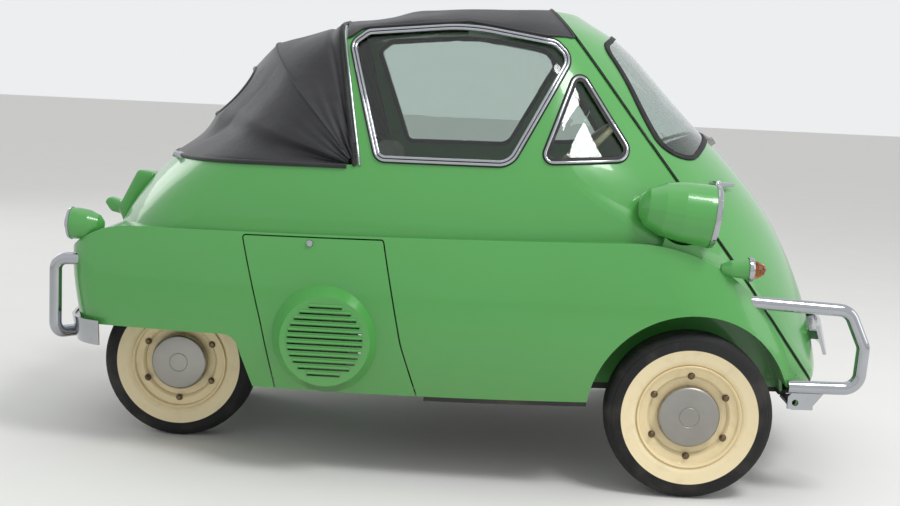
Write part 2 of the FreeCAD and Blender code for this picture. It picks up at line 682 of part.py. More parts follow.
# Front door
door_bottom = raked(Part.makeBox(2 * FAR, 2 * FAR, FAR, Vector(-FAR, -FAR, float(S.sill_height) + 6)))
door_outside = upper(0).common(door_bottom).common(ahead_of_seam(HALF_GAP))
door = door_outside.cut([upper(WALL), windscreen_prism()])
sleeve_z = hinge["z"] + 74
sleeve_length = hinge["length"] * 0.28
sleeve = Part.makeCylinder(10, sleeve_length, Vector(hinge["x"], hinge["y"], sleeve_z))
leaf = Part.makeBox(52, 120, sleeve_length, Vector(hinge["x"], hinge["y"] - 118, sleeve_z)).cut(upper(WALL / 2))
bore = Part.makeCylinder(PIN_RADIUS + float(S.running_gap), 400, Vector(hinge["x"], hinge["y"], hinge["z"] - 200))
door = door.fuse([sleeve, leaf]).cut(bore)
solid("front_door", door)

# Window frames and panes: rings and panels cut out of thin skins of the body
PROUD, FRAME, GLASS, FIT = (float(size) for size in (S.frame_proud, S.frame_width, S.glass, S.fit_gap))
frame_skin = upper(-PROUD).cut(upper(8))
pane_skin = upper(1).cut(upper(1 + GLASS))
right_side = Part.makeBox(2 * FAR, FAR, 2 * FAR, Vector(-FAR, -FAR, -FAR))
for name, outline in (("side_window", MAIN_WINDOW), ("vent_window", VENT_WINDOW)):
    ring = through(outline, -FIT).cut(through(outline, -FRAME)).common(right_side)
    pane = through(outline, -FRAME - FIT).common(right_side)
    solid(name + "_frames", both(frame_skin.common(ring)))
    solid(name + "_glass", both(pane_skin.common(pane)))
windscreen_ring = windscreen_prism(-FIT).cut(windscreen_prism(-FRAME))
solid("windscreen_frame", frame_skin.common(windscreen_ring))
solid("windscreen_glass", pane_skin.common(windscreen_prism(-FRAME - FIT)))

# Floor, chassis and what it carries
FLOOR_TOP = float(S.sill_height)
floor_slab = Part.makeBox(1260, 2 * FAR, float(S.floor_thickness),
                          Vector(-185, -FAR, FLOOR_TOP - float(S.floor_thickness)))
behind_arch = Part.makeBox(FAR, 2 * FAR, FAR, Vector(float(S.front_axle_x) - float(S.arch_radius) - FAR + 30, -FAR,
                                                      -FAR / 2))
floor_outline = upper(4).fuse(lower(4, bottom=100).common(behind_arch))
cover_notch = Part.makeBox(450, 400, 400, Vector(-500, -960, 100))
floor = floor_outline.common(raked(floor_slab)).cut(cover_notch)
floor = floor.cut([well(side, arch, liner_y, 900) for side in (-1, 1)])
solid("floor_pan", floor)

tube_radius = float(S.frame_tube_radius)
tube_y = float(S.frame_tube_y)
tube_z = FLOOR_TOP - float(S.floor_thickness) - tube_radius - FIT
side_tubes = [Part.makeCylinder(tube_radius, 1500, Vector(-540, side * tube_y, tube_z), Vector(1, 0, 0))
              for side in (-1, 1)]
cross_tubes = [Part.makeCylinder(tube_radius, 2 * tube_y, Vector(x, -tube_y, tube_z), Vector(0, 1, 0))
               for x in (-520, -100, 560, 940)]
chassis = raked(side_tubes[0].fuse([side_tubes[1]] + cross_tubes))
solid("chassis_frame", chassis)

boss_z = float(AXLE_Z)
front_x = float(S.front_axle_x)
kingpin_y = float(S.kingpin_y)
boss = Part.makeCylinder(26, BOSS_HEIGHT, Vector(front_x, -kingpin_y, boss_z - BOSS_HEIGHT / 2))
arm = Part.makeBox(50, kingpin_y - tube_y + 10, 40, Vector(front_x - 25, -kingpin_y, boss_z - 20))
pivot = Part.makeBox(130, 60, 34, Vector(front_x - 105, -tube_y - 62, boss_z - 22))
swing = boss.fuse([arm, pivot]).cut([chassis, Part.makeCylinder(
    float(S.kingpin_radius) + float(S.running_gap), 400, Vector(front_x, -kingpin_y, boss_z - 200))])
swing = max(swing.Solids, key=lambda piece: piece.Volume)
solid("front_suspension_arms", both(swing))

rear_x = float(REAR_AXLE_X)
axle_bore = Part.makeCylinder(float(S.axle_radius) + float(S.running_gap), 1000, Vector(rear_x, -500, boss_z),
                              Vector(0, 1, 0))
axle_tube = Part.makeCylinder(34, 370, Vector(rear_x, -185, boss_z), Vector(0, 1, 0))
chain_case = Part.makeBox(320, 84, 110, Vector(rear_x - 50, -42, boss_z - 55))
solid("rear_axle_case", axle_tube.fuse(chain_case).cut(axle_bore))

spring_top = boss_z + 34 + FIT
spring = side_prism([(rear_x - 40, spring_top), (rear_x - 40, spring_top + 20), (rear_x + 120, spring_top + 34),
                     (-545, spring_top - 16), (-500, spring_top - 20), (-500, spring_top - 45),
                     (-560, spring_top - 45), (rear_x + 120, spring_top + 8), (rear_x + 60, spring_top)], -165, -115)
spring = spring.cut(chassis)
solid("rear_leaf_springs", both(max(spring.Solids, key=lambda piece: piece.Volume)))

engine = raked(Part.makeBox(210, 330, 300, Vector(-505, -520, tube_z + tube_radius + FIT)))
engine = engine.cut(spring)
solid("engine_block", max(engine.Solids, key=lambda piece: piece.Volume))

bulkhead_line = [(-182, 262), (-182, 430), (-250, 430), (-335, 838), (-935, 820), (-935, 808), (-344, 826),
                 (-262, 418), (-194, 418), (-194, 262)]
inner_space = upper(WALL + FIT).fuse(lower(WALL + FIT, bottom=100).cut(ahead_of_fender(-30)))
cover_swing = Part.makeBox(60, 90, 70, Vector(-215, -690, 235))
bulkhead = inner_space.common(raked(side_prism(bulkhead_line))).cut(cover_swing)
solid("engine_bulkhead", bulkhead)

seat_top = float(S.seat_height)
cushion_low = seat_top - float(S.cushion_height)
half_seat = float(S.seat_width) / 2
cushion = side_prism([(-236, cushion_low), (196, cushion_low), (222, cushion_low + 40), (214, seat_top - 16),
                      (180, seat_top), (-150, seat_top - 14), (-236, seat_top - 24)], -half_seat, half_seat)
solid("seat_cushion", cushion)
back = side_prism([(-150, seat_top - 14 + FIT), (-214, 880), (-240, 904), (-290, 904), (-314, 884),
                   (-240, seat_top - 24 + FIT)], -half_seat, half_seat)
solid("seat_back", back)
seat_base = inner_space.common(side_prism([(-170, 262), (160, 275), (176, cushion_low - FIT),
                                           (-170, cushion_low - FIT)], -420, 420))
solid("seat_base", seat_base)

# Steering wheel, its column and the panel on the door
tilt = float(S.steering_tilt)
hub_at = Vector(float(S.steering_x), float(S.steering_y), float(S.steering_z))
lean = FreeCAD.Rotation(Vector(0, 1, 0), -tilt)
column_way = lean.multVec(Vector(0, 0, -1))
wheel_radius, rim = float(S.steering_radius), float(S.steering_rim)


def at_wheel(shape):
    shape.Placement = FreeCAD.Placement(hub_at, lean).multiply(shape.Placement)
    return shape


steering = Part.makeTorus(wheel_radius, rim).fuse(
    [Part.makeCylinder(30, 34, Vector(0, 0, -26))]
    + [Part.makeCylinder(7, wheel_radius - 20, Vector(15 * math.cos(turn), 15 * math.sin(turn), -6),
                         Vector(math.cos(turn), math.sin(turn), 0.03))
       for turn in (math.radians(90), math.radians(-90), math.radians(180))])
solid("steering_wheel", at_wheel(steering))
column = at_wheel(Part.makeCylinder(19, 620, Vector(0, 0, -26 - FIT - 620)))
brace_line = [(540, 690), (1100, 625), (1100, 590), (540, 655)]
brace = side_prism(brace_line, hub_at.y - 15, hub_at.y + 15).common(upper(WALL + FIT))
solid("steering_column", column.fuse(brace))
door_cavity = upper(WALL + FIT).common(ahead_of_seam(HALF_GAP + 4))
dash_line = [(640, 800), (700, 740), (800, 740), (800, 880), (700, 900), (640, 880)]
dash = door_cavity.common(side_prism(dash_line, -60, 430)).cut(
    at_wheel(Part.makeCylinder(19 + FIT, 900, Vector(0, 0, -900))))
solid("instrument_panel", max(dash.Solids, key=lambda piece: piece.Volume))

# Lamps: shells turned about their own axis, set on feet that follow the body


def along_x(name, profile, x, y, z, tilt_degrees=0.0):
    """A body turned about the car's length from a (radius, forward) profile, on the right side."""
    piece = turned(name, profile)
    turn = FreeCAD.Rotation(Vector(0, 1, 0), tilt_degrees).multiply(FreeCAD.Rotation(Vector(0, 0, 1), -90))
    piece.Placement = FreeCAD.Placement(Vector(0, 0, 0), turn)
    return bind(piece, Placement__Base__x=x, Placement__Base__y=y, Placement__Base__z=z)


R, L, W = S.headlamp_radius, S.headlamp_length, S.lamp_wall
lamp_at = (S.headlamp_x, -S.headlamp_y, S.headlamp_z)
pod = along_x("headlamp_pod", [
    (0, -L), (R * 0.34, -L + 5), (R * 0.62, -L + 25), (R * 0.84, -L * 0.66), (R * 0.94, -L * 0.4),
    (R - 3, -14), (R - 3, 0), (R - 3 - W, 0), (R - 3 - W, -14), (R * 0.94 - W, -L * 0.4),
    (R * 0.84 - W, -L * 0.64), (R * 0.62 - W, -L + 28), (0, -L + 8)], *lamp_at, float(S.headlamp_tilt))
rim_ring = along_x("headlamp_rim", [
    (R - 10, FIT), (R - 1, FIT), (R, 5), (R - 2, 13), (R - 7, 16), (R - 10, 14)], *lamp_at, float(S.headlamp_tilt))
lens = along_x("headlamp_lens", [
    (0, 2), (R - 10 - FIT, 2), (R - 10 - FIT, 10), (R * 0.6, 21), (R * 0.3, 27), (0, 28)],
    *lamp_at, float(S.headlamp_tilt))
doc.recompute()
pod_outside = Part.makeCylinder(float(R) - 3, float(L), Vector(0, 0, 0), Vector(-1, 0, 0))
foot = side_prism([(566, 640), (596, 760), (664, 760), (700, 640)], -float(S.headlamp_y) - 18,
                  -float(S.headlamp_y) + 18)
foot = foot.cut([pod.Shape, Part.makeSphere(float(R) - 8, Vector(float(S.headlamp_x) - 70, -float(S.headlamp_y),
                                                                 float(S.headlamp_z) - 3)), outside])
foot = min(foot.Solids, key=lambda piece: abs(piece.CenterOfMass.z - 700))
pod_on_foot = doc.addObject("Part::Feature", "headlamp_pod_on_foot")
pod_on_foot.Shape = Part.makeCompound([max(pod.Shape.cut(upper(-FIT)).Solids, key=lambda piece: piece.Volume), foot])
pair("headlamp_pods", pod_on_foot)
pair("headlamp_rims", rim_ring)
pair("headlamp_lenses", lens)

R = S.indicator_radius
lamp_at = (S.indicator_x, -S.indicator_y, S.indicator_z)
cone = along_x("indicator_cone", [(0, 0), (R * 0.35, 0), (R * 0.7, 26), (R * 0.9, 74), (0, 74)], *lamp_at)
collar = along_x("indicator_collar", [(0, 74 + S.fit_gap), (R, 74 + S.fit_gap), (R, 82), (R - 3, 86), (0, 86)], *lamp_at)
amber = along_x("indicator_lens", [(0, 86 + S.fit_gap), (R - 6, 86 + S.fit_gap), (R - 8, 98), (R * 0.45, 116),
                                   (0, 124)], *lamp_at)
doc.recompute()
indicator_cone = doc.addObject("Part::Feature", "indicator_cone_on_fender")
indicator_cone.Shape = max(cone.Shape.cut(outside).Solids, key=lambda piece: piece.Volume)
pair("indicator_housings", group("indicator_housing", indicator_cone, collar))
pair("indicator_lenses", amber)

R = S.tail_lamp_radius
lamp_at = (S.tail_lamp_x, -S.tail_lamp_y, S.tail_lamp_z)
egg = along_x("tail_lamp_shell", [(0, 0), (R - 2, 0), (R - 2, 22), (R * 0.86, 52), (R * 0.58, 80), (R * 0.25, 92),
                                  (0, 95)], *lamp_at)
tail_rim = along_x("tail_lamp_rim", [(R - 8, -S.fit_gap), (R - 8, -9), (R - 2, -8), (R, -S.fit_gap)], *lamp_at)
red = along_x("tail_lamp_lens", [(0, -S.fit_gap), (0, -20), (R * 0.5, -17), (R - 8 - S.fit_gap, -8),
                                 (R - 8 - S.fit_gap, -S.fit_gap)], *lamp_at)
doc.recompute()
egg_on_fender = doc.addObject("Part::Feature", "tail_lamp_on_fender")
egg_on_fender.Shape = max(egg.Shape.cut([lower(-FIT), upper(-FIT)]).Solids, key=lambda piece: piece.Volume)
pair("tail_lamp_pods", egg_on_fender)
pair("tail_lamp_lenses", red)
pair("tail_lamp_rims", tail_rim)

plate_lamp = side_prism([(-976, 786), (-1030, 792), (-1090, 672), (-1070, 600), (-960, 700)], -42, 42)
plate_lamp = plate_lamp.fuse(side_prism([(-1084, 686), (-1128, 700), (-1142, 680), (-1120, 650), (-1070, 640)],
                                        -26, 26)).cut([upper(-FIT), lower(-FIT)])
solid("plate_lamp_housing", max(plate_lamp.Solids, key=lambda piece: piece.Volume))

# Bumpers: bent tubes and blades


def bent_tube(points, bend, radius):
    """A round tube along straight runs joined by arcs of one radius."""
    path = []
    start = points[0]
    for back, here, on in zip(points, points[1:], points[2:]):
        to_back, to_on = (back - here).normalize(), (on - here).normalize()
        half = to_back.getAngle(to_on) / 2
        setback = bend / math.tan(half)
        inward = (to_back + to_on).normalize()
        entry, leave = here + to_back * setback, here + to_on * setback
        path += [Part.makeLine(start, entry),
                 Part.Arc(entry, here + inward * (bend / math.sin(half) - bend), leave).toShape()]
        start = leave
    path.append(Part.makeLine(start, points[-1]))
    wire = Part.Wire(path)
    ring = Part.Wire([Part.Circle(points[0], points[1] - points[0], radius).toShape()])
    return wire.makePipeShell([ring], True, False)


tube = float(S.bumper_tube)
guard_y = float(S.bumper_y)
below_floor = FLOOR_TOP - float(S.floor_thickness) - FIT
right_line = ((800, 552), (1112, 540), (1158, 440), (1152, 322), (960, 318))
right_guard = bent_tube([Vector(x, -guard_y, z) for x, z in right_line], 44, tube)
bracket = side_prism([(962, 256), (1024, 256), (1060, 304), (1060, 332), (1000, 332), (962, 290)],
                     -guard_y - 4, -guard_y + 4)
tow_eye = Part.makeCylinder(float(S.tow_eye_radius), 60, Vector(983, -guard_y - 30, 274), Vector(0, 1, 0))
foot_plate = raked(Part.makeBox(58, guard_y + 4 - 430, 9, Vector(962, -guard_y - 4, below_floor - 9)))
right_guard = right_guard.cut(outside).fuse([bracket.cut(outside), foot_plate]).cut(tow_eye)
solid("front_bumper_guard_right", max(right_guard.Solids, key=lambda piece: piece.Volume))

left_line = ((930, 380, 552), (1012, guard_y, 546), (1112, guard_y, 540), (1158, guard_y, 440),
             (1152, guard_y, 322), (1118, guard_y - 40, 318), (1082, 265, 330))
left_guard = bent_tube([Vector(*point) for point in left_line], 22, tube).cut(door_outside)
solid("front_bumper_guard_left", max(left_guard.Solids, key=lambda piece: piece.Volume))

blade_band = side_prism([(FAR, 352), (FAR, 440), (0, 440), (0, 352)], -270, 270)
blade = upper(-40).cut(upper(-30)).common(blade_band)
blade_posts = [Part.makeBox(200, 30, 26, Vector(980, y - 15, 383)).common(upper(-31)).cut(door_outside)
               for y in (-170, 170)]
blade = blade.fuse([max(post.Solids, key=lambda piece: piece.CenterOfMass.x) for post in blade_posts])
solid("door_bumper", blade)

rear_y = float(S.rear_guard_y)
rear_line = ((-1000, 0, 556), (-1158, 0, 550), (-1158, 0, 330), (-1106, 96, 324))
rear_guard = bent_tube([Vector(x, aside - rear_y, z) for x, aside, z in rear_line], 34, tube).cut(outside)
solid("rear_bumper_guards", both(max(rear_guard.Solids, key=lambda piece: piece.Volume)))
rear_band = side_prism([(-FAR, 313), (-1004, 313), (-1004, 386), (-FAR, 386)])
rear_blade = lower(-22, bottom=100).cut(lower(-14, bottom=100)).common(rear_band)
rear_posts = [Part.makeBox(200, 30, 13, Vector(-1220, y - 15, 372)).common(lower(-15, bottom=100)).cut(outside)
              for y in (-250, 250)]
rear_blade = rear_blade.fuse([min(post.Solids, key=lambda piece: piece.CenterOfMass.x) for post in rear_posts])
rear_blade = rear_blade.cut([rear_guard, rear_guard.mirror(Vector(0, 0, 0), Vector(0, 1, 0))])
solid("rear_bumper_blade", max(rear_blade.Solids, key=lambda piece: piece.Volume))

# Small fittings on the door
post_at = Vector(742, skin_y(742, 856, upper(0)), 856)
grip_at = Vector(800, skin_y(800, 852, upper(0)), 852)
out = (post_at - Vector(430, 0, 800)).normalize()
handle = Part.makeCylinder(11, 30, post_at - out * 4, out).fuse(
    [Part.makeCone(9, 5, (grip_at - post_at).Length, post_at + out * 22, (grip_at - post_at)),
     Part.makeSphere(9, post_at + out * 22)]).cut(door_outside)
solid("door_handle", max(handle.Solids, key=lambda piece: piece.Volume))

wiper_at = Vector(float(S.seam_x), 0, float(S.seam_z)) + UP_SEAM * -560
band = Part.makePolygon([wiper_at + Vector(0, y, 0) + UP_SEAM * up
                         for y, up in ((-10, -10), (10, -10), (120, 38), (360, 52), (360, 62), (120, 52),
                                       (-10, 14), (-10, -10))])
sweep = upper(-16).cut(upper(-9)).common(Part.Face(band).extrude(OUT_OF_SEAM * 500))
pivot_skin = max((vertex.Point for vertex in upper(0).section(
    Part.makeLine(wiper_at, wiper_at + OUT_OF_SEAM * 600)).Vertexes), key=lambda point: point.x)
spindle = Part.makeCylinder(13, 26, pivot_skin - OUT_OF_SEAM * 6, OUT_OF_SEAM).cut(door_outside)
wiper = sweep.fuse(spindle)
solid("wiper", max(wiper.Solids, key=lambda piece: piece.Volume))

# Controls on the floor, and the track rod
floor_at = Part.makeBox(FAR, FAR, FAR, Vector(-FAR / 2, -FAR / 2, FLOOR_TOP + FIT))
above_floor = raked(floor_at)
levers = [bent_tube([Vector(x, y, 240), Vector(x + 20, y, 420), Vector(x + 90, y, 560)], 60, 7).fuse(
    Part.makeSphere(15, Vector(x + 92, y, 566))).common(above_floor) for x, y in ((120, 540), (230, 500))]
solid("levers", Part.makeCompound([max(lever.Solids, key=lambda piece: piece.Volume) for lever in levers]))
pedals = [side_prism([(800, 250), (812, 250), (838, 330), (870, 366), (862, 374), (828, 336)], y - 24, y + 24)
          .common(above_floor) for y in (150, 240, 320)]
solid("pedals", Part.makeCompound(pedals))

rod_z = boss_z - BOSS_HEIGHT / 2 - 13 - LUG_GAP - 2 - 7
arm_end = kingpin_y - 12
rod = Part.makeCylinder(7, 2 * arm_end, Vector(front_x - 108, -arm_end, rod_z), Vector(0, 1, 0)).fuse(
    [Part.makeCylinder(6, 8.5, Vector(front_x - 108, side * (arm_end - 6), rod_z)) for side in (-1, 1)])
solid("track_rod", rod)
doc.recompute()
failed = [item.Name for item in doc.Objects if {"Invalid", "Error"} & set(item.State)]
failed += [part.Label for part in NODES if part.Shape.isNull() or not part.Shape.isValid()]
if failed:
    raise ValueError("not built: " + ", ".join(failed))
os.makedirs("parts", exist_ok=True)
for part in NODES:
    part.Shape.exportStep(f"parts/{part.Label}.step")
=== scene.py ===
"""Looks of the bubble car: pieces, finishes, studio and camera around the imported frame."""

import math

import bmesh
import bpy
from mathutils import Matrix, Vector
from mathutils.bvhtree import BVHTree


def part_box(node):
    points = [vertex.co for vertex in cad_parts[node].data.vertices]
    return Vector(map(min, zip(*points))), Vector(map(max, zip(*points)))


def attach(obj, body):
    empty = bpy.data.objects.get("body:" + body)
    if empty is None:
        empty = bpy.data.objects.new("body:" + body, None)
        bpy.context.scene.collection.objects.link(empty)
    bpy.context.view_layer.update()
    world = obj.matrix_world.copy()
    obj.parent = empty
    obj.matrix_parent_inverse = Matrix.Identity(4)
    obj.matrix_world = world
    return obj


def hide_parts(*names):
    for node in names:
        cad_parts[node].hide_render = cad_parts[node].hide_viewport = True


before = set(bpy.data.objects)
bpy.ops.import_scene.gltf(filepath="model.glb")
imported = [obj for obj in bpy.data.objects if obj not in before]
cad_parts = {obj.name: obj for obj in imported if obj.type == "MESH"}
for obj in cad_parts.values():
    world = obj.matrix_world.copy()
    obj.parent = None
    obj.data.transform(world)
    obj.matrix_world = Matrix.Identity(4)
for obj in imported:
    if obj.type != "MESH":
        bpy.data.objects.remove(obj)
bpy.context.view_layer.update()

bl_info = {
    "name": "Bubble Car Dresser",
    "version": (1, 0, 0),
    "blender": (4, 5, 0),
    "location": "3D View > Sidebar > Bubble Car",
    "description": "Adds tyres, hood, trim, seats, finishes, studio and camera to the packed bubble car",
    "category": "Object",
}

# Places in metres, +X forward, +Y the car's left, +Z up
FRONT_AXLE_X, REAR_AXLE_X, AXLE_Z = 0.683, -0.817, 0.232
FRONT_WHEEL_Y, REAR_WHEEL_Y = 0.600, 0.260
SIDES = {"right": -1, "left": 1}
# One row a wheel: name, axle x, signed middle y, body
WHEELS = (
    ("front_right", FRONT_AXLE_X, -FRONT_WHEEL_Y, "wheel_front_right"),
    ("front_left", FRONT_AXLE_X, FRONT_WHEEL_Y, "wheel_front_left"),
    ("rear_right", REAR_AXLE_X, -REAR_WHEEL_Y, "rear_wheels"),
    ("rear_left", REAR_AXLE_X, REAR_WHEEL_Y, "rear_wheels"),
)
# The sloping plane of the door's seam: a point on it and the way forward out of it
SEAM_POINT = Vector((0.302, 0, 1.295))
OUT_OF_SEAM = Vector((1.3, 0, 1)).normalized()
# Farther out than any skin, so that rays can start there
FAR = 2.0
HOOD_PIVOT = Vector((-0.265, 0, 0.872))
# Fan angles of the hood's hem, its rear bow and its front bow, in degrees about the pivot line
HEM_ANGLE, REAR_BOW_ANGLE, FRONT_BOW_ANGLE = 181.0, 133.0, 101.7
# The front bow seen from the side: its foot and its head (x, z)
BOW_FOOT, BOW_HEAD = Vector((-0.262, 0.874)), Vector((-0.343, 1.262))
# Eaves of the roof seen from the side, from rear to front: corners (x, z)
EAVES = ((-0.345, 1.222), (-0.318, 1.227), (-0.285, 1.2535), (-0.262, 1.2585), (0.020, 1.2875),
         (0.245, 1.2560), (0.330, 1.2575))
# Window outlines seen from the side: corners (x, z, radius)
MAIN_WINDOW = ((-0.214, 0.889, 0.034), (0.160, 0.893, 0.060), (0.322, 1.200, 0.046), (0.272, 1.246, 0.040),
               (0.020, 1.284, 0.600), (-0.268, 1.254, 0.040), (-0.316, 1.215, 0.034))
VENT_WINDOW = ((0.236, 0.904, 0.026), (0.512, 0.920, 0.034), (0.334, 1.180, 0.026))
# Rear window of the hood, seen from behind: corners (y, z, radius), and the x that it lies behind
REAR_WINDOW = ((-0.235, 0.985, 0.060), (0.235, 0.985, 0.060), (0.205, 1.125, 0.060), (-0.205, 1.125, 0.060))
BEHIND_X = -0.4
# Lamps of the left side: rear end of the indicator, middle of the headlamp's rim and how far it looks down
INDICATOR_PLACE = (0.745, 0.622, 0.646)
HEADLAMP_PLACE = (0.709, 0.615, 0.785)
HEADLAMP_TILT = math.radians(6)
# Louvres of the engine cover: middle (x, z), number, half the longest one's length and distance between two
LOUVRE_PLACE, LOUVRE_COUNT = (-0.325, 0.397), 12
LOUVRE_REACH, LOUVRE_PITCH = 0.104, 0.017
# Lock of the engine cover, seen from the side, and left clip of the hood, seen from behind
LOCK_X, LOCK_Z = -0.385, 0.655
CLIP_Y, CLIP_Z = 0.30, 0.858

# Profiles of turned pieces: corners (radius, distance along the axis)
HUB_CAP = ((0.0745, 0.0243), (0.0800, 0.0253), (0.0840, 0.0283), (0.0852, 0.0333), (0.0850, 0.0443),
           (0.0838, 0.0498), (0.0810, 0.0533), (0.0770, 0.0548), (0.0290, 0.0565), (0.0280, 0.0557),
           (0.0268, 0.0557), (0.0258, 0.0567), (0.0, 0.0569), (0.0, 0.0529), (0.0760, 0.0508),
           (0.0800, 0.0478), (0.0810, 0.0423), (0.0805, 0.0303))
WASHER = ((0, -0.002), (0.0105, -0.002), (0.0105, 0.0020), (0.0085, 0.0034), (0, 0.0034))
BOLT_HEAD = ((0, 0.002), (0.0078, 0.002), (0.0078, 0.0085), (0.0062, 0.0100), (0, 0.0102))
VALVE = ((0, -0.006), (0.0042, -0.006), (0.0042, 0.012), (0.0030, 0.013), (0.0030, 0.018), (0, 0.018))
INDICATOR_RING = ((0.0300, 0.0725), (0.0334, 0.0735), (0.0338, 0.0800), (0.0326, 0.0850), (0.0295, 0.0880),
                  (0.0272, 0.0880), (0.0272, 0.0850), (0.0300, 0.0830))
HEADLAMP_BOWL = ((0.0765, 0.001), (0.074, -0.006), (0.064, -0.028), (0.045, -0.046), (0.020, -0.056),
                 (0.0, -0.058), (0.0, -0.060), (0.021, -0.058), (0.047, -0.048), (0.066, -0.029),
                 (0.0775, -0.006), (0.0785, 0.001))
BULB = ((0.0, -0.056), (0.009, -0.056), (0.009, -0.040), (0.013, -0.032), (0.014, -0.024), (0.010, -0.015),
        (0.0, -0.012))
COVER_LOCK = ((0.0, -0.004), (0.010, -0.004), (0.010, 0.003), (0.0085, 0.006), (0.0055, 0.007),
              (0.005, 0.0055), (0.0, 0.0055))
HOOD_CLIP = ((0.0, -0.006), (0.013, -0.006), (0.013, 0.008), (0.010, 0.014), (0.010, 0.024), (0.0, 0.026))

# Studio lights: name, place, the point that it is aimed at, size, power
LIGHTS = (
    ("key", (2.4, -2.6, 5.2), (0, 0, 0.6), 1.6, 140),
    ("top", (-0.6, 0.6, 5.5), (0, 0, 0.5), 4.0, 20),
    ("front", (6.0, -1.0, 2.6), (0, 0, 0.6), 3.0, 40),
    ("back", (-5.0, 4.0, 3.2), (0, 0, 0.6), 3.0, 36),
)
SKY_STRENGTH = 0.68
# The photograph's camera: place, yaw, pitch and roll in radians, focal length and width of the photograph in
# pixels, and width of the sensor in millimetres
CAMERA_PLACE, YAW, PITCH, ROLL = (0.12645, -4.16604, 1.11446), -0.03456712, 0.13041396, 0.04652393
FOCAL_PIXELS, PHOTO_PIXELS, SENSOR_WIDTH = 1301.42, 900, 36.0


# Modelling helpers


def deselect():
    """Leaves edit mode and selects nothing."""
    if bpy.context.object and bpy.context.object.mode != "OBJECT":
        bpy.ops.object.mode_set(mode="OBJECT")
    bpy.ops.object.select_all(action="DESELECT")


def only(piece):
    """Makes one object the active and only selected one."""
    deselect()
    piece.select_set(True)
    bpy.context.view_layer.objects.active = piece
    return piece


def edit(piece, *steps):
    """Runs steps in edit mode on everything that the piece holds."""
    only(piece)
    bpy.ops.object.mode_set(mode="EDIT")
    bpy.ops.mesh.select_all(action="SELECT")
    for step in steps:
        step()
    bpy.ops.object.mode_set(mode="OBJECT")
    return piece


def added(name, operator, **values):
    """Adds a primitive and returns it under its own name."""
    deselect()
    operator(**values)
    piece = bpy.context.object
    piece.name = name
    piece.data.name = name
    return piece


def settle(piece):
    """Puts the object at the origin, unturned and unscaled, with its place in its mesh."""
    only(piece)
    bpy.ops.object.transform_apply(location=True, rotation=True, scale=True)
    return piece


def smooth(piece, angle=35.0):
    """Shades smooth, but for edges sharper than an angle in degrees."""
    only(piece)
    bpy.ops.object.shade_smooth_by_angle(angle=math.radians(angle))
    return piece


def close_up(piece, distance=1e-5):
    """Merges doubles and turns the faces outwards."""
    return edit(piece, lambda: bpy.ops.mesh.remove_doubles(threshold=distance),
                lambda: bpy.ops.mesh.normals_make_consistent(inside=False))


def modified(piece, kind, **values):
    """Adds a modifier and applies it."""
    only(piece)
    modifier = piece.modifiers.new(kind, kind)
    for name, value in values.items():
        setattr(modifier, name, value)
    bpy.ops.object.modifier_apply(modifier=modifier.name)
    return piece


def joined(name, pieces):
    """Joins pieces to one of a new name."""
    deselect()
    for piece in pieces:
        piece.select_set(True)
    bpy.context.view_layer.objects.active = pieces[0]
    if len(pieces) > 1:
        bpy.ops.object.join()
    piece = bpy.context.object
    piece.name = name
    piece.data.name = name
    return piece


def copied(node, name):
    """A copy of a carried-over node with its own mesh."""
    only(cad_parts[node])
    bpy.ops.object.duplicate(linked=False)
    piece = bpy.context.object
    piece.name = name
    piece.data.name = name
    return piece


def lathe(name, profile, centre, axis, steps=96, closed=True):
    """Spins a profile of (radius, along) corners about an axis, one extruded corner at a time."""
    axis = Vector(axis).normalized()
    side = axis.orthogonal().normalized()
    corners = [side * radius + axis * along for radius, along in profile]
    piece = added(name, bpy.ops.mesh.primitive_plane_add, size=0.01)
    bpy.ops.object.mode_set(mode="EDIT")
    bpy.ops.mesh.select_all(action="SELECT")
    bpy.ops.mesh.merge(type="CENTER")
    bpy.ops.transform.translate(value=corners[0])
    for before, after in zip(corners, corners[1:]):
        bpy.ops.mesh.extrude_region_move(TRANSFORM_OT_translate={"value": after - before})
    if closed:
        bpy.ops.mesh.extrude_region_move(TRANSFORM_OT_translate={"value": corners[0] - corners[-1]})
    bpy.ops.mesh.select_all(action="SELECT")
    bpy.ops.mesh.spin(steps=steps, angle=math.tau, center=(0, 0, 0), axis=axis)
    bpy.ops.mesh.select_all(action="SELECT")
    bpy.ops.mesh.remove_doubles(threshold=2e-5)
    bpy.ops.mesh.normals_make_consistent(inside=False)
    bpy.ops.object.mode_set(mode="OBJECT")
    piece.location = centre
    settle(piece)
    return smooth(piece)


def tube(name, points, radius, closed=False, sides=6):
    """A round bead along points."""
    piece = added(name, bpy.ops.curve.primitive_nurbs_path_add)
    curve = piece.data
    curve.splines.clear()
    spline = curve.splines.new("POLY")
    spline.points.add(len(points) - 1)
    for place, point in zip(spline.points, points):
        place.co = (*point, 1)
    spline.use_cyclic_u = closed
    curve.bevel_depth = radius
    curve.bevel_resolution = max(0, sides // 2 - 1)
    curve.use_fill_caps = True
    only(piece)
    bpy.ops.object.convert(target="MESH")
    return smooth(close_up(bpy.context.object), 60)


def grid(name, rows, columns, place):
    """A sheet of rows by columns points, each put by place(row, column) with both from 0 to 1."""
    piece = added(name, bpy.ops.mesh.primitive_grid_add, size=1, x_subdivisions=columns, y_subdivisions=rows)
    for vertex in piece.data.vertices:
        vertex.co = place(vertex.co.y + 0.5, vertex.co.x + 0.5)
    piece.location = (0, 0, 0)
    return settle(piece)


def node_tree(*names):
    """The carried-over nodes' faces, for finding their skin with a ray."""
    mesh = bmesh.new()
    for name in names:
        mesh.from_mesh(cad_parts[name].data)
    tree = BVHTree.FromBMesh(mesh)
    mesh.free()
    return tree


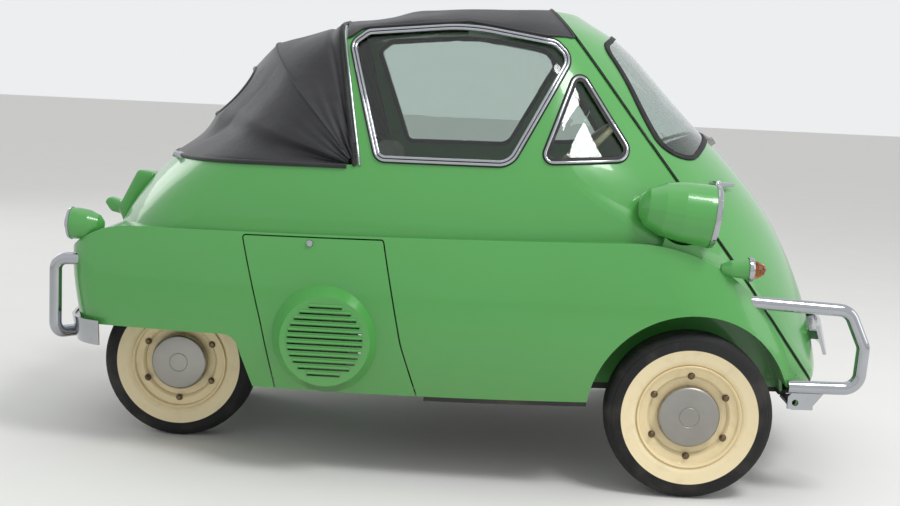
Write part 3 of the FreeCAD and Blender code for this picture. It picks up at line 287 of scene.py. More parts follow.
def struck(tree, start, way):
    """Where a ray first meets a skin, or None."""
    return tree.ray_cast(Vector(start), Vector(way).normalized())[0]


def round_corners(corners, steps=10):
    """Points of a closed flat outline: corners (u, v, radius) rounded by arcs."""
    points = []
    count = len(corners)
    for index, (u, v, radius) in enumerate(corners):
        here = Vector((u, v))
        back = (Vector(corners[index - 1][:2]) - here).normalized()
        on = (Vector(corners[(index + 1) % count][:2]) - here).normalized()
        half = back.angle(on) / 2
        middle = here + (back + on).normalized() * (radius / math.sin(half))
        first = here + back * (radius / math.tan(half)) - middle
        last = here + on * (radius / math.tan(half)) - middle
        sweep = first.angle(last)
        for step in range(steps + 1):
            share = step / steps
            arm = first * math.sin((1 - share) * sweep) + last * math.sin(share * sweep)
            points.append(middle + arm / math.sin(sweep))
    return points


def grown(points, distance):
    """A closed flat outline moved outwards by a distance."""
    count = len(points)
    middle = sum(points, Vector((0, 0))) / count
    moved = []
    for index, point in enumerate(points):
        along = (points[(index + 1) % count] - points[index - 1]).normalized()
        normal = Vector((along.y, -along.x))
        if normal.dot(point - middle) < 0:
            normal = -normal
        moved.append(point + normal * distance)
    return moved


def evened(points, gap=0.012):
    """A closed flat outline whose long runs are divided."""
    divided = []
    for point, after in zip(points, points[1:] + points[:1]):
        parts = max(1, math.ceil((after - point).length / gap))
        divided += [point.lerp(after, part / parts) for part in range(parts)]
    return divided


# Finishes


def linear(red, green, blue):
    """Display values from 0 to 255 as scene linear ones."""
    return tuple((value / 255 / 12.92) if value <= 10 else ((value / 255 + 0.055) / 1.055) ** 2.4
                 for value in (red, green, blue))


def label(name):
    """The name that Blender shows for a node's input, from the name as a Python word."""
    return name.replace("_", " ").title().replace("Ior", "IOR")


class Socket:
    """An output of a shader node that takes part in Python arithmetic."""

    def __init__(self, shader, output):
        self.shader = shader
        self.output = output

    def _math(self, operation, one, two=0.0):
        return self.shader.add("ShaderNodeMath", {"operation": operation}, one, two)

    def __add__(self, other):
        return self._math("ADD", self, other)

    def __sub__(self, other):
        return self._math("SUBTRACT", self, other)

    def __rsub__(self, other):
        return self._math("SUBTRACT", other, self)

    def __mul__(self, other):
        return self._math("MULTIPLY", self, other)

    def __pow__(self, other):
        return self._math("POWER", self, other)

    __radd__ = __add__

    def sine(self):
        return self._math("SINE", self)

    def least(self, other):
        return self._math("MINIMUM", self, other)

    def step(self, low, high):
        """0 below low and 1 above high, with a smooth change between."""
        smooth_range = {"interpolation_type": "SMOOTHSTEP"}
        return self.shader.add("ShaderNodeMapRange", smooth_range, self, low, high, 0.0, 1.0)

    def band(self, inner, outer):
        """1 between two edges, each given as the pair of values over which it changes."""
        return self.step(*inner) * (1.0 - self.step(*outer))


class Finish:
    """A procedural material that is read on Object coordinates."""

    def __init__(self, name, **inputs):
        self.material = bpy.data.materials.new(name)
        self.material.use_nodes = True
        self.tree = self.material.node_tree
        self.shader = next(node for node in self.tree.nodes if node.type == "BSDF_PRINCIPLED")
        self.place = self.add("ShaderNodeTexCoord", {}, output="Object")
        self.x, self.y, self.z = (self.add("ShaderNodeSeparateXYZ", {}, self.place, output=axis)
                                  for axis in "XYZ")
        self.set(**inputs)

    def add(self, kind, settings, *inputs, output=0, **named):
        """Adds a node with its settings and inputs, by order or by name, and returns an output of it."""
        node = self.tree.nodes.new(kind)
        for name, value in settings.items():
            setattr(node, name, value)
        for index, value in enumerate(inputs):
            self.join(value, node.inputs[index])
        for name, value in named.items():
            self.join(value, node.inputs[label(name)])
        return Socket(self, node.outputs[output])

    def join(self, value, target):
        """Feeds an input with a link, a colour or a number."""
        if isinstance(value, Socket):
            self.tree.links.new(value.output, target)
        elif target.type == "RGBA":
            target.default_value = (*value, 1)
        else:
            target.default_value = value

    def set(self, **inputs):
        """Feeds inputs of the surface shader."""
        for name, value in inputs.items():
            self.join(value, self.shader.inputs[label(name)])

    def noise(self, scale, detail=3.0, place=None):
        """Cloudy values from 0 to 1."""
        return self.add("ShaderNodeTexNoise", {}, place or self.place, scale=scale, detail=detail)

    def cells(self, scale):
        """Distances from scattered points, for grain."""
        return self.add("ShaderNodeTexVoronoi", {"feature": "F1"}, self.place, scale=scale, output="Distance")

    def stretched(self, x, y, z):
        """Object coordinates, scaled along each axis."""
        return self.add("ShaderNodeMapping", {}, self.place, scale=(x, y, z))

    def mix(self, share, one, two):
        """Colour one where share is 0 and colour two where it is 1."""
        node = self.tree.nodes.new("ShaderNodeMix")
        node.data_type = "RGBA"
        for value, index in ((share, 0), (one, 6), (two, 7)):
            self.join(value, node.inputs[index])
        return Socket(self, node.outputs[2])

    def radius(self, x, z):
        """Distance from an axle that runs along Y."""
        across, up = self.x - x, self.z - z
        return (across * across + up * up) ** 0.5

    def bump(self, height, depth):
        """Relief of a given depth in metres for heights from 0 to 1."""
        relief = self.add("ShaderNodeBump", {}, strength=1.0, distance=depth, height=height, output="Normal")
        self.set(normal=relief)
        return self


def body_paint(name, colour, dust=0.25):
    """Old enamel: a clear gloss, faint waves, a little road dust low down."""
    finish = Finish(name, coat_weight=0.6, coat_roughness=0.06, specular_ior_level=0.5)
    low = 1.0 - finish.z.step(0.18, 0.5)
    dirt = low * finish.noise(9.0, 6.0) * dust
    shade = finish.mix(finish.noise(2.5, 4.0), tuple(value * 0.95 for value in colour),
                       tuple(value * 1.04 for value in colour))
    finish.set(base_color=finish.mix(dirt, shade, linear(140, 126, 100)),
               roughness=0.26 + finish.noise(6.0, 3.0) * 0.08 + dirt * 0.3)
    return finish.bump(finish.noise(24.0, 1.0), 0.00015)


def wheel_enamel(name):
    """Cream enamel with rust-brown grime in patches and spots."""
    finish = Finish(name, coat_weight=0.4, coat_roughness=0.08)
    grime = finish.noise(22.0, 6.0).step(0.54, 0.78) * 0.16
    spots = finish.noise(180.0, 3.0).step(0.70, 0.74) * 0.25
    tone = finish.mix(finish.noise(5.0), linear(232, 212, 164), linear(240, 222, 178))
    finish.set(base_color=finish.mix((grime + spots).least(0.6), tone, linear(120, 92, 58)),
               roughness=0.3 + grime)
    return finish.bump(finish.noise(120.0, 2.0), 0.0001)


def tyre_rubber(name, x, white_side):
    """Black rubber with a cream side wall on the outer face, ribs and mould rings."""
    finish = Finish(name, specular_ior_level=0.35)
    radius = finish.radius(x, AXLE_Z)
    middle = FRONT_WHEEL_Y if x > 0 else REAR_WHEEL_Y
    on_face = (finish.y * white_side - middle).step(0.028, 0.034)
    wall = on_face * radius.band((0.1405, 0.1425), (0.1875, 0.1885))
    scuff = finish.noise(14.0, 6.0).step(0.45, 0.75)
    black = finish.mix(scuff, linear(30, 30, 31), linear(58, 56, 53))
    stain = finish.noise(30.0, 5.0).step(0.5, 0.8) * 0.2
    cream = finish.mix(stain, linear(240, 224, 184), linear(184, 164, 124))
    finish.set(base_color=finish.mix(wall, black, cream), roughness=0.72 - wall * 0.17 + scuff * 0.1)
    rings = (radius * 1570.0).sine() * radius.band((0.190, 0.194), (0.211, 0.214))
    return finish.bump(rings * 0.25 + finish.noise(420.0, 3.0) * 0.35, 0.0009)


def chrome(name, tint=(176, 179, 184), rough=0.05):
    """Plated metal with faint smears and pits."""
    finish = Finish(name, metallic=1.0)
    smear = finish.noise(18.0, 5.0).step(0.35, 0.85)
    pits = finish.noise(520.0, 2.0).step(0.70, 0.74)
    tone = finish.mix((smear * 0.2 + pits * 0.5).least(1.0), linear(*tint), linear(150, 142, 128))
    finish.set(base_color=tone, roughness=rough + smear * 0.10 + pits * 0.25)
    return finish.bump(1.0 - pits, 0.0001)


def satin_metal(name, tint=(166, 163, 157), centre=None):
    """Worn plated metal, turned marks round its middle where a middle is given."""
    finish = Finish(name, metallic=0.95)
    rings = finish.noise(60.0, 4.0)
    if centre:
        rings = finish.add("ShaderNodeTexNoise", {"noise_dimensions": "1D"}, w=finish.radius(*centre),
                           scale=900.0, detail=3.0)
    wear = finish.noise(7.0, 6.0).step(0.3, 0.9)
    worn = linear(*(value * 0.9 for value in tint))
    finish.set(base_color=finish.mix(wear, linear(*tint), worn), roughness=0.36 + wear * 0.12)
    return finish.bump(rings, 0.00008)


def soft_top_cloth(name):
    """Black coated cloth: fine grain, dusty streaks and rubbed lighter patches."""
    finish = Finish(name, sheen_weight=0.15, specular_ior_level=0.45)
    patch = finish.noise(5.0, 5.0).step(0.35, 0.8)
    streak = finish.noise(9.0, 5.0, place=finish.stretched(1.0, 1.0, 4.0)).step(0.45, 0.8)
    tone = finish.mix((patch * 0.55 + streak * 0.35).least(1.0), linear(27, 27, 31), linear(50, 50, 56))
    finish.set(base_color=tone, roughness=0.46 + patch * 0.18)
    return finish.bump(finish.cells(700.0) * 0.6 + finish.noise(60.0, 5.0) * 1.6, 0.0007)


def rubber(name, tone=28):
    """Dull rubber that has chalked in patches."""
    finish = Finish(name, specular_ior_level=0.3)
    chalk = finish.noise(30.0, 5.0).step(0.45, 0.8)
    shade = finish.mix(chalk, linear(tone, tone, tone + 1), linear(tone + 30, tone + 29, tone + 27))
    finish.set(base_color=shade, roughness=0.6 + chalk * 0.15)
    return finish.bump(finish.noise(300.0, 3.0), 0.0003)


def pane(name, tint=(214, 224, 219), rough=0.0):
    """Window glass with the least sign of dust. Its default tint is a slight green, greyed past clear glass
    as painted shade for the dark cabin and reflections behind the windows.
    """
    finish = Finish(name, transmission_weight=1.0, ior=1.45)
    dust = finish.noise(35.0, 6.0).step(0.55, 0.9)
    finish.set(base_color=finish.mix(dust * 0.25, linear(*tint), linear(205, 208, 200)),
               roughness=rough + dust * 0.03)
    return finish


def lens(name, tint, flutes, depth=0.0012):
    """Moulded lamp glass with upright flutes and cross ribs."""
    finish = Finish(name, transmission_weight=0.9, ior=1.49)
    ribs = (finish.y * flutes).sine() * 0.5 + (finish.z * flutes * 0.35).sine() * 0.25 + 0.75
    tone = finish.mix(finish.noise(12.0), linear(*tint), tuple(value * 0.86 for value in linear(*tint)))
    finish.set(base_color=tone, roughness=0.06 + finish.noise(60.0) * 0.06)
    return finish.bump(ribs * 0.6, depth)


def dark_paint(name, tone=26):
    """Underseal and chassis paint with dried dust."""
    finish = Finish(name)
    dust = finish.noise(8.0, 7.0).step(0.42, 0.8)
    rust = finish.noise(30.0, 6.0).step(0.66, 0.78)
    tones = finish.mix(dust * 0.6, linear(tone, tone, tone), linear(98, 90, 78))
    finish.set(base_color=finish.mix(rust * 0.5, tones, linear(84, 52, 34)), roughness=0.55 + dust * 0.3)
    return finish.bump(finish.noise(160.0, 5.0), 0.0006)


def cast_metal(name):
    """Grey castings with oil on them."""
    finish = Finish(name, metallic=0.7)
    oil = finish.noise(12.0, 6.0).step(0.4, 0.75)
    finish.set(base_color=finish.mix(oil, linear(128, 126, 122), linear(50, 44, 38)),
               roughness=0.45 + oil * 0.25)
    return finish.bump(finish.noise(380.0, 3.0), 0.0006)


def seat_cloth(name):
    """Woven grey-green cloth with crossing threads."""
    finish = Finish(name, sheen_weight=0.3)
    warp, weft = (finish.x * 2600.0).sine(), (finish.y * 2600.0).sine()
    up = (finish.z * 2600.0).sine()
    weave = warp * weft + weft * up
    stripe = (finish.y * 78.0).sine().step(0.86, 0.96)
    tone = finish.mix(finish.noise(80.0, 4.0), linear(96, 104, 88), linear(136, 140, 118))
    finish.set(base_color=finish.mix(stripe * 0.7, tone, linear(196, 184, 146)), roughness=0.85)
    return finish.bump(weave * 0.35 + finish.noise(200.0, 4.0) * 0.4, 0.0006)


def ivory_plastic(name):
    """Ivory plastic, yellowed and with fine dark specks."""
    finish = Finish(name, coat_weight=0.25, coat_roughness=0.12)
    age = finish.noise(10.0, 5.0)
    fine = finish.noise(300.0, 2.0).step(0.66, 0.7)
    tone = finish.mix(age, linear(226, 212, 170), linear(206, 188, 140))
    finish.set(base_color=finish.mix(fine * 0.4, tone, linear(120, 98, 66)), roughness=0.32 + age * 0.1)
    return finish.bump(age, 0.0001)


# Finishes are made once each, the first time that a piece asks for one
MAKERS = {
    "green": lambda: body_paint("green_enamel", tuple(bpy.context.scene.car_colours.body)),
    "cream": lambda: wheel_enamel("cream_enamel"),
    "chrome": lambda: chrome("chrome_plate"),
    "dull_chrome": lambda: chrome("worn_chrome", (156, 156, 154), 0.16),
    "steel": lambda: satin_metal("plain_steel"),
    "bolts": lambda: satin_metal("bronzed_bolts", (118, 102, 80)),
    "soft_top": lambda: soft_top_cloth("black_coated_cloth"),
    "rubber": lambda: rubber("black_rubber"),
    "grey_rubber": lambda: rubber("window_rubber", 44),
    "glass": lambda: pane("window_glass"),
    "rear_pane": lambda: pane("soft_window", (214, 214, 196), 0.08),
    "clear_lens": lambda: lens("headlamp_glass", (236, 240, 240), 520.0),
    "amber": lambda: lens("amber_lens", (240, 110, 12), 700.0, 0.0008),
    "red": lambda: lens("red_lens", (190, 14, 16), 620.0, 0.0008),
    "bulb": lambda: lens("bulb_glass", (244, 244, 236), 0.0, 0.0001),
    "chassis": lambda: dark_paint("chassis_paint"),
    "well": lambda: dark_paint("floor_underseal", 34),
    "cast": lambda: cast_metal("cast_metal"),
    "seat": lambda: seat_cloth("seat_cloth"),
    "ivory": lambda: ivory_plastic("ivory_plastic"),
}
made = {}


def material_of(finish):
    """The material of a named finish, or a material as it is."""
    if not isinstance(finish, str):
        return finish
    if finish not in made:
        made[finish] = MAKERS[finish]().material
    return made[finish]


def dress(piece, body, slot, finish, *nodes):
    """Gives a finished piece its material and its body, and hides the nodes it stands for. The slot is not
    used.
    """
    piece.data.materials.clear()
    piece.data.materials.append(material_of(finish))
    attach(piece, body)
    if nodes:
        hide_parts(*nodes)
    return piece


def repaint(finish, *nodes):
    """Gives carried-over nodes a finish."""
    for name in nodes:
        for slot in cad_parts[name].material_slots:
            slot.material = material_of(finish)


# Pieces


def tyre(name, x, y):
    """A tyre whose tread has five ribs between grooves."""
    crown, bead = 0.232, 0.1413
    groove, half_foot, half_mouth, outer_drop, inner_drop = 0.006, 0.0014, 0.0022, 0.0012, 0.0002
    wall = [(bead, -0.044), (bead + 0.011, -0.054), (bead + 0.020, -0.0575), (bead + 0.0455, -0.0600),
            (bead + 0.0475, -0.0610), (bead + 0.050, -0.0602), (0.206, -0.0575), (0.2125, -0.0545),
            (0.2135, -0.0520), (0.2195, -0.0490), (0.2265, -0.0425), (0.2295, -0.0375)]
    tread = []
    for middle, drop in ((-0.0290, outer_drop), (-0.0135, inner_drop),
                         (0.0135, inner_drop), (0.0290, outer_drop)):
        top = crown - drop
        tread += [(top, middle - half_mouth), (top - groove, middle - half_foot),
                  (top - groove, middle + half_foot), (top, middle + half_mouth)]
    other = [(radius, -along) for radius, along in reversed(wall)]
    return lathe(name, wall + tread + other, (x, y, AXLE_Z), (0, 1, 0), steps=144)


def hub_cap(name, x, y, side):
    """A plain pressed cap: a rounded rim, a flat face and one fine ring."""
    return lathe(name, HUB_CAP, (x, y, AXLE_Z), (0, side, 0), steps=96)


def wheel_bolts(name, x, y, side):
    """Six hexagon bolts on their washers, and the valve."""
    pieces = []
    disc_face, bolt_circle, valve_back, valve_down = 0.0365, 0.1135, 0.098, 0.056
    face = y + side * disc_face
    for index in range(6):
        turn = math.radians(60 * index + 30)
        centre = (x + bolt_circle * math.cos(turn), face, AXLE_Z + bolt_circle * math.sin(turn))
        for kind, profile, steps in (("washer", WASHER, 20), ("bolt_head", BOLT_HEAD, 6)):
            pieces.append(lathe(kind, profile, centre, (0, side, 0), steps=steps, closed=False))
    stem = (x - valve_back, face, AXLE_Z - valve_down)
    pieces.append(lathe("valve", VALVE, stem, (0, side, 0), steps=16, closed=False))
    return joined(name, pieces)


def drape(tree, flat, side, lift=0.0):
    """Points seen from the side, laid on the right or left skin and lifted off it."""
    points = []
    for point in flat:
        hit = struck(tree, (point.x, side * FAR, point.y), (0, -side, 0))
        if hit:
            points.append(hit + Vector((0, side * lift, 0)))
    return points


def fan_ray(angle, around):
    """The way out from the hood's pivot line at a fan angle, from right (0) over the top to left (pi)."""
    out = Vector((math.cos(angle), 0, math.sin(angle)))
    return (Vector((0, -1, 0)) * math.cos(around) + out * math.sin(around)).normalized()


def stretched_share(point):
    """1 on the hood round its rear window, where the cloth is taut, and 0 from a hand's width away."""
    aside = max(0.0, abs(point.y) - REAR_WINDOW[1][0])
    above = max(0.0, REAR_WINDOW[0][1] - point.z, point.z - REAR_WINDOW[2][1])
    return max(0.0, 1 - math.hypot(aside, above) / 0.09) if point.x < BEHIND_X else 0.0


def hood_place(tree, sizes):
    """Where a point of the hood's cloth lies: taut over two bows and the rear window, and slack between."""
    hem, rear_bow, front_bow = (math.radians(angle) for angle in (HEM_ANGLE, REAR_BOW_ANGLE, FRONT_BOW_ANGLE))
    edge = math.radians(3.0)
    lift, crease_depth, gather_depth, ripple_depth = 0.0035, 0.008, 0.016, 0.0014
    # Fan angles in radians: how far up the tuck goes, the places of crease and gathers, and their widths
    tuck_reach, crease_gap, crease_width, gather_angle, gather_width = 0.34, 0.105, 0.028, 2.25, 0.42

    def place(row, column):
        angle = hem + (front_bow - hem) * row
        around = edge + (math.pi - 2 * edge) * column
        way = fan_ray(angle, around)
        hit = struck(tree, HOOD_PIVOT + way * FAR, -way) or HOOD_PIVOT + way * 0.5
        first, last = (hem, rear_bow) if angle > rear_bow else (rear_bow, front_bow)
        over = math.sin(math.pi * (angle - first) / (last - first))
        slack = sizes.fold_depth * over ** 0.8 * math.sin(around) ** 0.7
        tuck = sizes.tuck * math.sin(math.pi * min(1.0, (hem - angle) / tuck_reach)) ** 1.5
        crease = crease_depth * math.exp(-((angle - front_bow - crease_gap) / crease_width) ** 2)
        pleat = math.sin(angle * 34 + 7 * around) * 0.6 + math.sin(angle * 19 - 5 * around + 1.3) * 0.4
        gathered = math.exp(-((angle - gather_angle) / gather_width) ** 2)
        gather = gather_depth * (1 - math.sin(around)) ** 4 * pleat * gathered
        ripple = ripple_depth * math.sin(hit.y * 31 + hit.z * 17) * math.sin(hit.x * 23 - hit.y * 11)
        slack = (slack + tuck) * (1 - stretched_share(hit))
        return hit + way * (lift - slack - crease + (gather + ripple) * over)

    return place


class CarSizes(bpy.types.PropertyGroup):
    """Sizes of the added pieces."""

    fold_depth: bpy.props.FloatProperty(name="Fold depth", default=0.016, unit="LENGTH",
                                        description="How far the hood hangs between its bows")
    tuck: bpy.props.FloatProperty(name="Tuck", description="How far the hood is drawn in above its hem",
                                  default=0.022, unit="LENGTH")
    cloth: bpy.props.FloatProperty(name="Cloth", description="Thickness of the hood's coated cloth",
                                   default=0.004, unit="LENGTH")
    bead: bpy.props.FloatProperty(name="Bead", description="Radius of the bright beads round the windows",
                                  default=0.0042, unit="LENGTH")
    hem: bpy.props.FloatProperty(name="Hem", description="Radius of the hood's piped hem",
                                 default=0.0065, unit="LENGTH")
    seal: bpy.props.FloatProperty(name="Seal", description="Width of the rubber in the door's seam",
                                  default=0.0045, unit="LENGTH")


class CarColours(bpy.types.PropertyGroup):
    """Colours that a user would change."""

    body: bpy.props.FloatVectorProperty(name="Body", description="Enamel of the body", subtype="COLOR",
                                        size=3, default=linear(76, 158, 74), min=0, max=1)
    floor: bpy.props.FloatVectorProperty(name="Floor", description="Studio floor", subtype="COLOR",
                                         size=3, default=linear(236, 236, 234), min=0, max=1)


class CAR_OT_tyres(bpy.types.Operator):
    """Four tyres with grooved treads and cream side walls"""

    bl_idname = "car.tyres"
    bl_label = "Tyres"

    def execute(self, context):
        for name, x, y, body in WHEELS:
            side = math.copysign(1, y)
            rubber_finish = tyre_rubber("tyre_" + name, x, side).material
            node = "rear_tyres" if x < 0 else "front_tyre_" + name.split("_")[1]
            dress(tyre("tyre_" + name, x, y), body, "tyre_rubber", rubber_finish, node)
        return {"FINISHED"}


class CAR_OT_wheel_fittings(bpy.types.Operator):
    """Hub caps, bolts and valves of the four wheels"""

    bl_idname = "car.wheel_fittings"
    bl_label = "Hub caps and bolts"

    def execute(self, context):
        for name, x, y, body in WHEELS:
            side = math.copysign(1, y)
            node = "rear_hub_caps" if x < 0 else "front_hub_cap_" + name.split("_")[1]
            finish = satin_metal("hub_cap_" + name, centre=(x, AXLE_Z)).material
            dress(hub_cap("hub_cap_" + name, x, y, side), body, "plain_steel", finish, node)
            dress(wheel_bolts("bolts_" + name, x, y, side), body, "plain_steel", "bolts")
        return {"FINISHED"}


class CAR_OT_hood(bpy.types.Operator):
    """Folding hood and roof of coated cloth, with piped hem, window binding and bow strips"""

    bl_idname = "car.hood"
    bl_label = "Hood and roof"

    def execute(self, context):
        sizes = context.scene.car_sizes
        skin = node_tree("hood_fabric", "hood_rear_window", "roof_fabric", "body_shell")
        on_hood = hood_place(skin, sizes)
        hood = grid("hood", 110, 200, on_hood)
        outline = round_corners(REAR_WINDOW)
        corners = [Vector((-FAR, *point)) for point in outline]
        window = BVHTree.FromPolygons(corners, [list(range(len(corners)))])

        def open_window():
            mesh = bmesh.from_edit_mesh(hood.data)
            for face in mesh.faces:
                middle = face.calc_center_median()
                face.select = middle.x < BEHIND_X and struck(window, middle, (-1, 0, 0)) is not None
            bmesh.update_edit_mesh(hood.data)
            bpy.ops.mesh.delete(type="FACE")
            bpy.ops.mesh.select_all(action="SELECT")
            bpy.ops.mesh.normals_make_consistent(inside=False)

        edit(hood, open_window)
        modified(hood, "SOLIDIFY", thickness=sizes.cloth, offset=-1.0)
        dress(smooth(hood, 60), "body", "soft_top", "soft_top", "hood_fabric")
        ridge_row = (HEM_ANGLE - REAR_BOW_ANGLE) / (HEM_ANGLE - FRONT_BOW_ANGLE)
        for name, row, inset, radius in (("hood_hem", 0.0, 0.0, sizes.hem),
                                         ("hood_bow_seam", ridge_row, 0.02, 0.0032),
                                         ("hood_front_welt", 0.985, 0.02, 0.005)):
            line = [on_hood(row, inset + (1 - 2 * inset) * step / 120) for step in range(121)]
            dress(tube(name, line, radius, sides=8), "body", "soft_top", "soft_top")
        cloth = node_tree("hood_fabric", "hood_rear_window")
        binding_out, binding_radius = 0.002, 0.0085
        ring = [struck(cloth, (-FAR, *point), (1, 0, 0)) for point in evened(grown(outline, binding_out))]
        ring = [point for point in ring if point]
        binding = tube("rear_window_binding", ring, binding_radius, closed=True, sides=10)
        dress(binding, "body", "soft_top", "soft_top")
        self.roof(sizes, node_tree("roof_fabric", "body_shell", "side_window_frames", "side_window_glass"))
        return {"FINISHED"}

    def roof(self, sizes, skin):
        """The flat part of the roof from the front bow to the top of the door."""
        rear_x, length, eave_z, low_z = -0.342, 0.668, 1.256, 0.9
        rear_lean, front_lean = -0.2075, -0.769
        lift, wave_depth, sag_depth, ripple_depth = 0.0025, 0.004, 0.007, 0.0012

        def eave(x):
            for (x0, z0), (x1, z1) in zip(EAVES, EAVES[1:]):
                if x <= x1:
                    return z0 + (z1 - z0) * (x - x0) / (x1 - x0)
            return EAVES[-1][1]

        def place(row, column):
            foot_x = rear_x + row * length
            lean = rear_lean + (front_lean - rear_lean) * row ** 3
            start = Vector((foot_x - lean * (eave_z - low_z), 0, low_z))

            def at(turn):
                way = Vector((lean * math.cos(turn), math.sin(turn), math.cos(turn))).normalized()
                return struck(skin, start + way * 1.5, -way), way

            # The widest turn that still meets the roof above its eaves, halved in sixteen times
            inside, outside = 0.0, 1.3
            for _ in range(16):
                middle = (inside + outside) / 2
                hit, way = at(middle)
                if hit and hit.z > eave(hit.x) + 0.0005:
                    inside = middle
                else:
                    outside = middle
            across = 2 * column - 1
            hit, way = at(inside * across)
            if not hit:
                hit, way = at(inside * across * 0.98)
            sag = wave_depth * math.sin(math.pi * row * 3) ** 2 + sag_depth * math.sin(math.pi * row) ** 0.6
            sag *= 1 - abs(across) ** 4
            ripple = ripple_depth * math.sin(hit.x * 31 + 4 * hit.y) * math.sin(hit.y * 17 + 3)
            return hit + way * (lift - sag + ripple)

        roof = grid("roof", 60, 80, place)
        edit(roof, lambda: bpy.ops.mesh.normals_make_consistent(inside=False))
        modified(roof, "SOLIDIFY", thickness=sizes.cloth, offset=-1.0)
        dress(smooth(roof, 60), "body", "soft_top", "soft_top", "roof_fabric")
        rim = [place(step / 50, 0.0) for step in range(51)] + [place(1.0, step / 50) for step in range(51)]
        rim += [place(1 - step / 50, 1.0) for step in range(51)]
        welt_radius = 0.0042
        welt = dress(tube("roof_welt", rim, welt_radius, sides=8), "body", "soft_top", "soft_top")


class CAR_OT_trim(bpy.types.Operator):
    """Bright beads round the windows, strips on the bows and rubber in the door's seam"""

    bl_idname = "car.trim"
    bl_label = "Window trim and seals"

    def execute(self, context):
        sizes = context.scene.car_sizes
        frames = node_tree("side_window_frames", "vent_window_frames", "body_shell")
        outer_bead, inner_bead, lip_out = -0.0035, -0.0125, 0.0015
        bead_lift, lip_radius = 0.0005, 0.0035
        for name, side in SIDES.items():
            beads = []
            for outline, out in ((MAIN_WINDOW, outer_bead), (MAIN_WINDOW, inner_bead),
                                 (VENT_WINDOW, outer_bead)):
                flat = evened(grown(round_corners(outline), out))
                line = drape(frames, flat, side, bead_lift)
                beads.append(tube("bead", line, sizes.bead, closed=True, sides=8))
            dress(joined("window_beads_" + name, beads), "body", "chrome", "chrome")
            lips = []
            for outline in (MAIN_WINDOW, VENT_WINDOW):
                flat = evened(grown(round_corners(outline), lip_out))
                lips.append(tube("lip", drape(frames, flat, side), lip_radius, closed=True))
            dress(joined("window_lips_" + name, lips), "body", "black_rubber", "rubber")
        self.bows(node_tree("body_shell", "roof_fabric", "hood_fabric"))
        self.seal(sizes)
        return {"FINISHED"}

    def bows(self, skin):
        """A black and a bright strip up both pillars, along the hood's front bow."""
        for name, side in SIDES.items():
            for look, shift, radius, slot, finish in (("bright", 0.004, 0.004, "chrome", "chrome"),
                                                      ("dark", -0.010, 0.007, "black_rubber", "rubber")):
                flat = [BOW_FOOT.lerp(BOW_HEAD, step / 40) + Vector((shift, 0)) for step in range(41)]
                strip = tube(f"bow_{look}_{name}", drape(skin, flat, side, 0.001), radius, sides=8)
                dress(strip, "body", slot, finish)

    def seal(self, sizes):
        """A slice of the shell's edge, moved into the gap, as the door's rubber."""
        piece = copied("body_shell", "door_seal")
        behind_seam, past_edge, sunk = 0.0036, 0.0004, 0.0012
        cut = SEAM_POINT - OUT_OF_SEAM * (behind_seam + sizes.seal)
        edit(piece, lambda: bpy.ops.mesh.remove_doubles(threshold=1e-5),
             lambda: bpy.ops.mesh.bisect(plane_co=cut, plane_no=OUT_OF_SEAM, use_fill=True, clear_inner=True))

        def forward():
            mesh = bmesh.from_edit_mesh(piece.data)
            for vertex in mesh.verts:
                vertex.co += OUT_OF_SEAM * (sizes.seal + past_edge)
                if abs(vertex.co.y) > 0.01:
                    vertex.co.y -= math.copysign(sunk, vertex.co.y)
            bmesh.update_edit_mesh(piece.data)

        edit(piece, forward, lambda: bpy.ops.mesh.normals_make_consistent(inside=False))
        dress(piece, "body", "black_rubber", "rubber")


class CAR_OT_lamps(bpy.types.Operator):
    """Reflectors and bulbs of the headlamps and rims of the indicators"""

    bl_idname = "car.lamps"
    bl_label = "Lamps"

    def execute(self, context):
        forward = (math.cos(HEADLAMP_TILT), 0, -math.sin(HEADLAMP_TILT))
        for name, side in SIDES.items():
            mirror = Vector((1, side, 1))
            middle, centre = Vector(INDICATOR_PLACE) * mirror, Vector(HEADLAMP_PLACE) * mirror
            ring = lathe("indicator_rim_" + name, INDICATOR_RING, middle, (1, 0, 0), steps=48)
            dress(ring, "body", "chrome", "chrome")
            bowl = lathe("headlamp_bowl_" + name, HEADLAMP_BOWL, centre, forward, steps=64)
            dress(bowl, "body", "chrome", "chrome")
            bulb = lathe("headlamp_bulb_" + name, BULB, centre, forward, steps=32, closed=False)
            dress(bulb, "body", "clear_lens", "bulb")
        return {"FINISHED"}


class CAR_OT_seats(bpy.types.Operator):
    """Bench cushion and back rest in woven cloth"""

    bl_idname = "car.seats"
    bl_label = "Seats"

    def execute(self, context):
        crown_height, groove_depth, groove_pitch, inset = 0.006, 0.007, 0.112, 0.004
        for node, face in (("seat_cushion", Vector((0, 0, 1))), ("seat_back", Vector((0.97, 0, 0.25)))):
            low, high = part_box(node)
            piece = close_up(copied(node, node + "_pad"))
            modified(piece, "REMESH", mode="VOXEL", voxel_size=0.009)
            middle_y = (low[1] + high[1]) / 2
            half = (high[1] - low[1]) / 2
            for vertex in piece.data.vertices:
                at, normal = vertex.co, vertex.normal
                aside = at.y - middle_y
                across = abs(aside) / half
                facing = max(0.0, normal.dot(face))
                crown = facing * (1 - across ** 4)
                channel = abs(math.sin(aside * math.pi / groove_pitch))
                groove = max(0.0, 1 - channel * 3.2) * facing
                pinch = max(0.0, across - 0.94) * 0.25
                raised = face * (crown * crown_height - groove * groove_depth)
                vertex.co = at + raised - Vector((0, aside, 0)) * pinch
                vertex.co -= normal * inset
            modified(piece, "SMOOTH", iterations=3, factor=0.5)
            dress(smooth(piece, 80), "body", "seat_fabric", "seat", node)
        return {"FINISHED"}


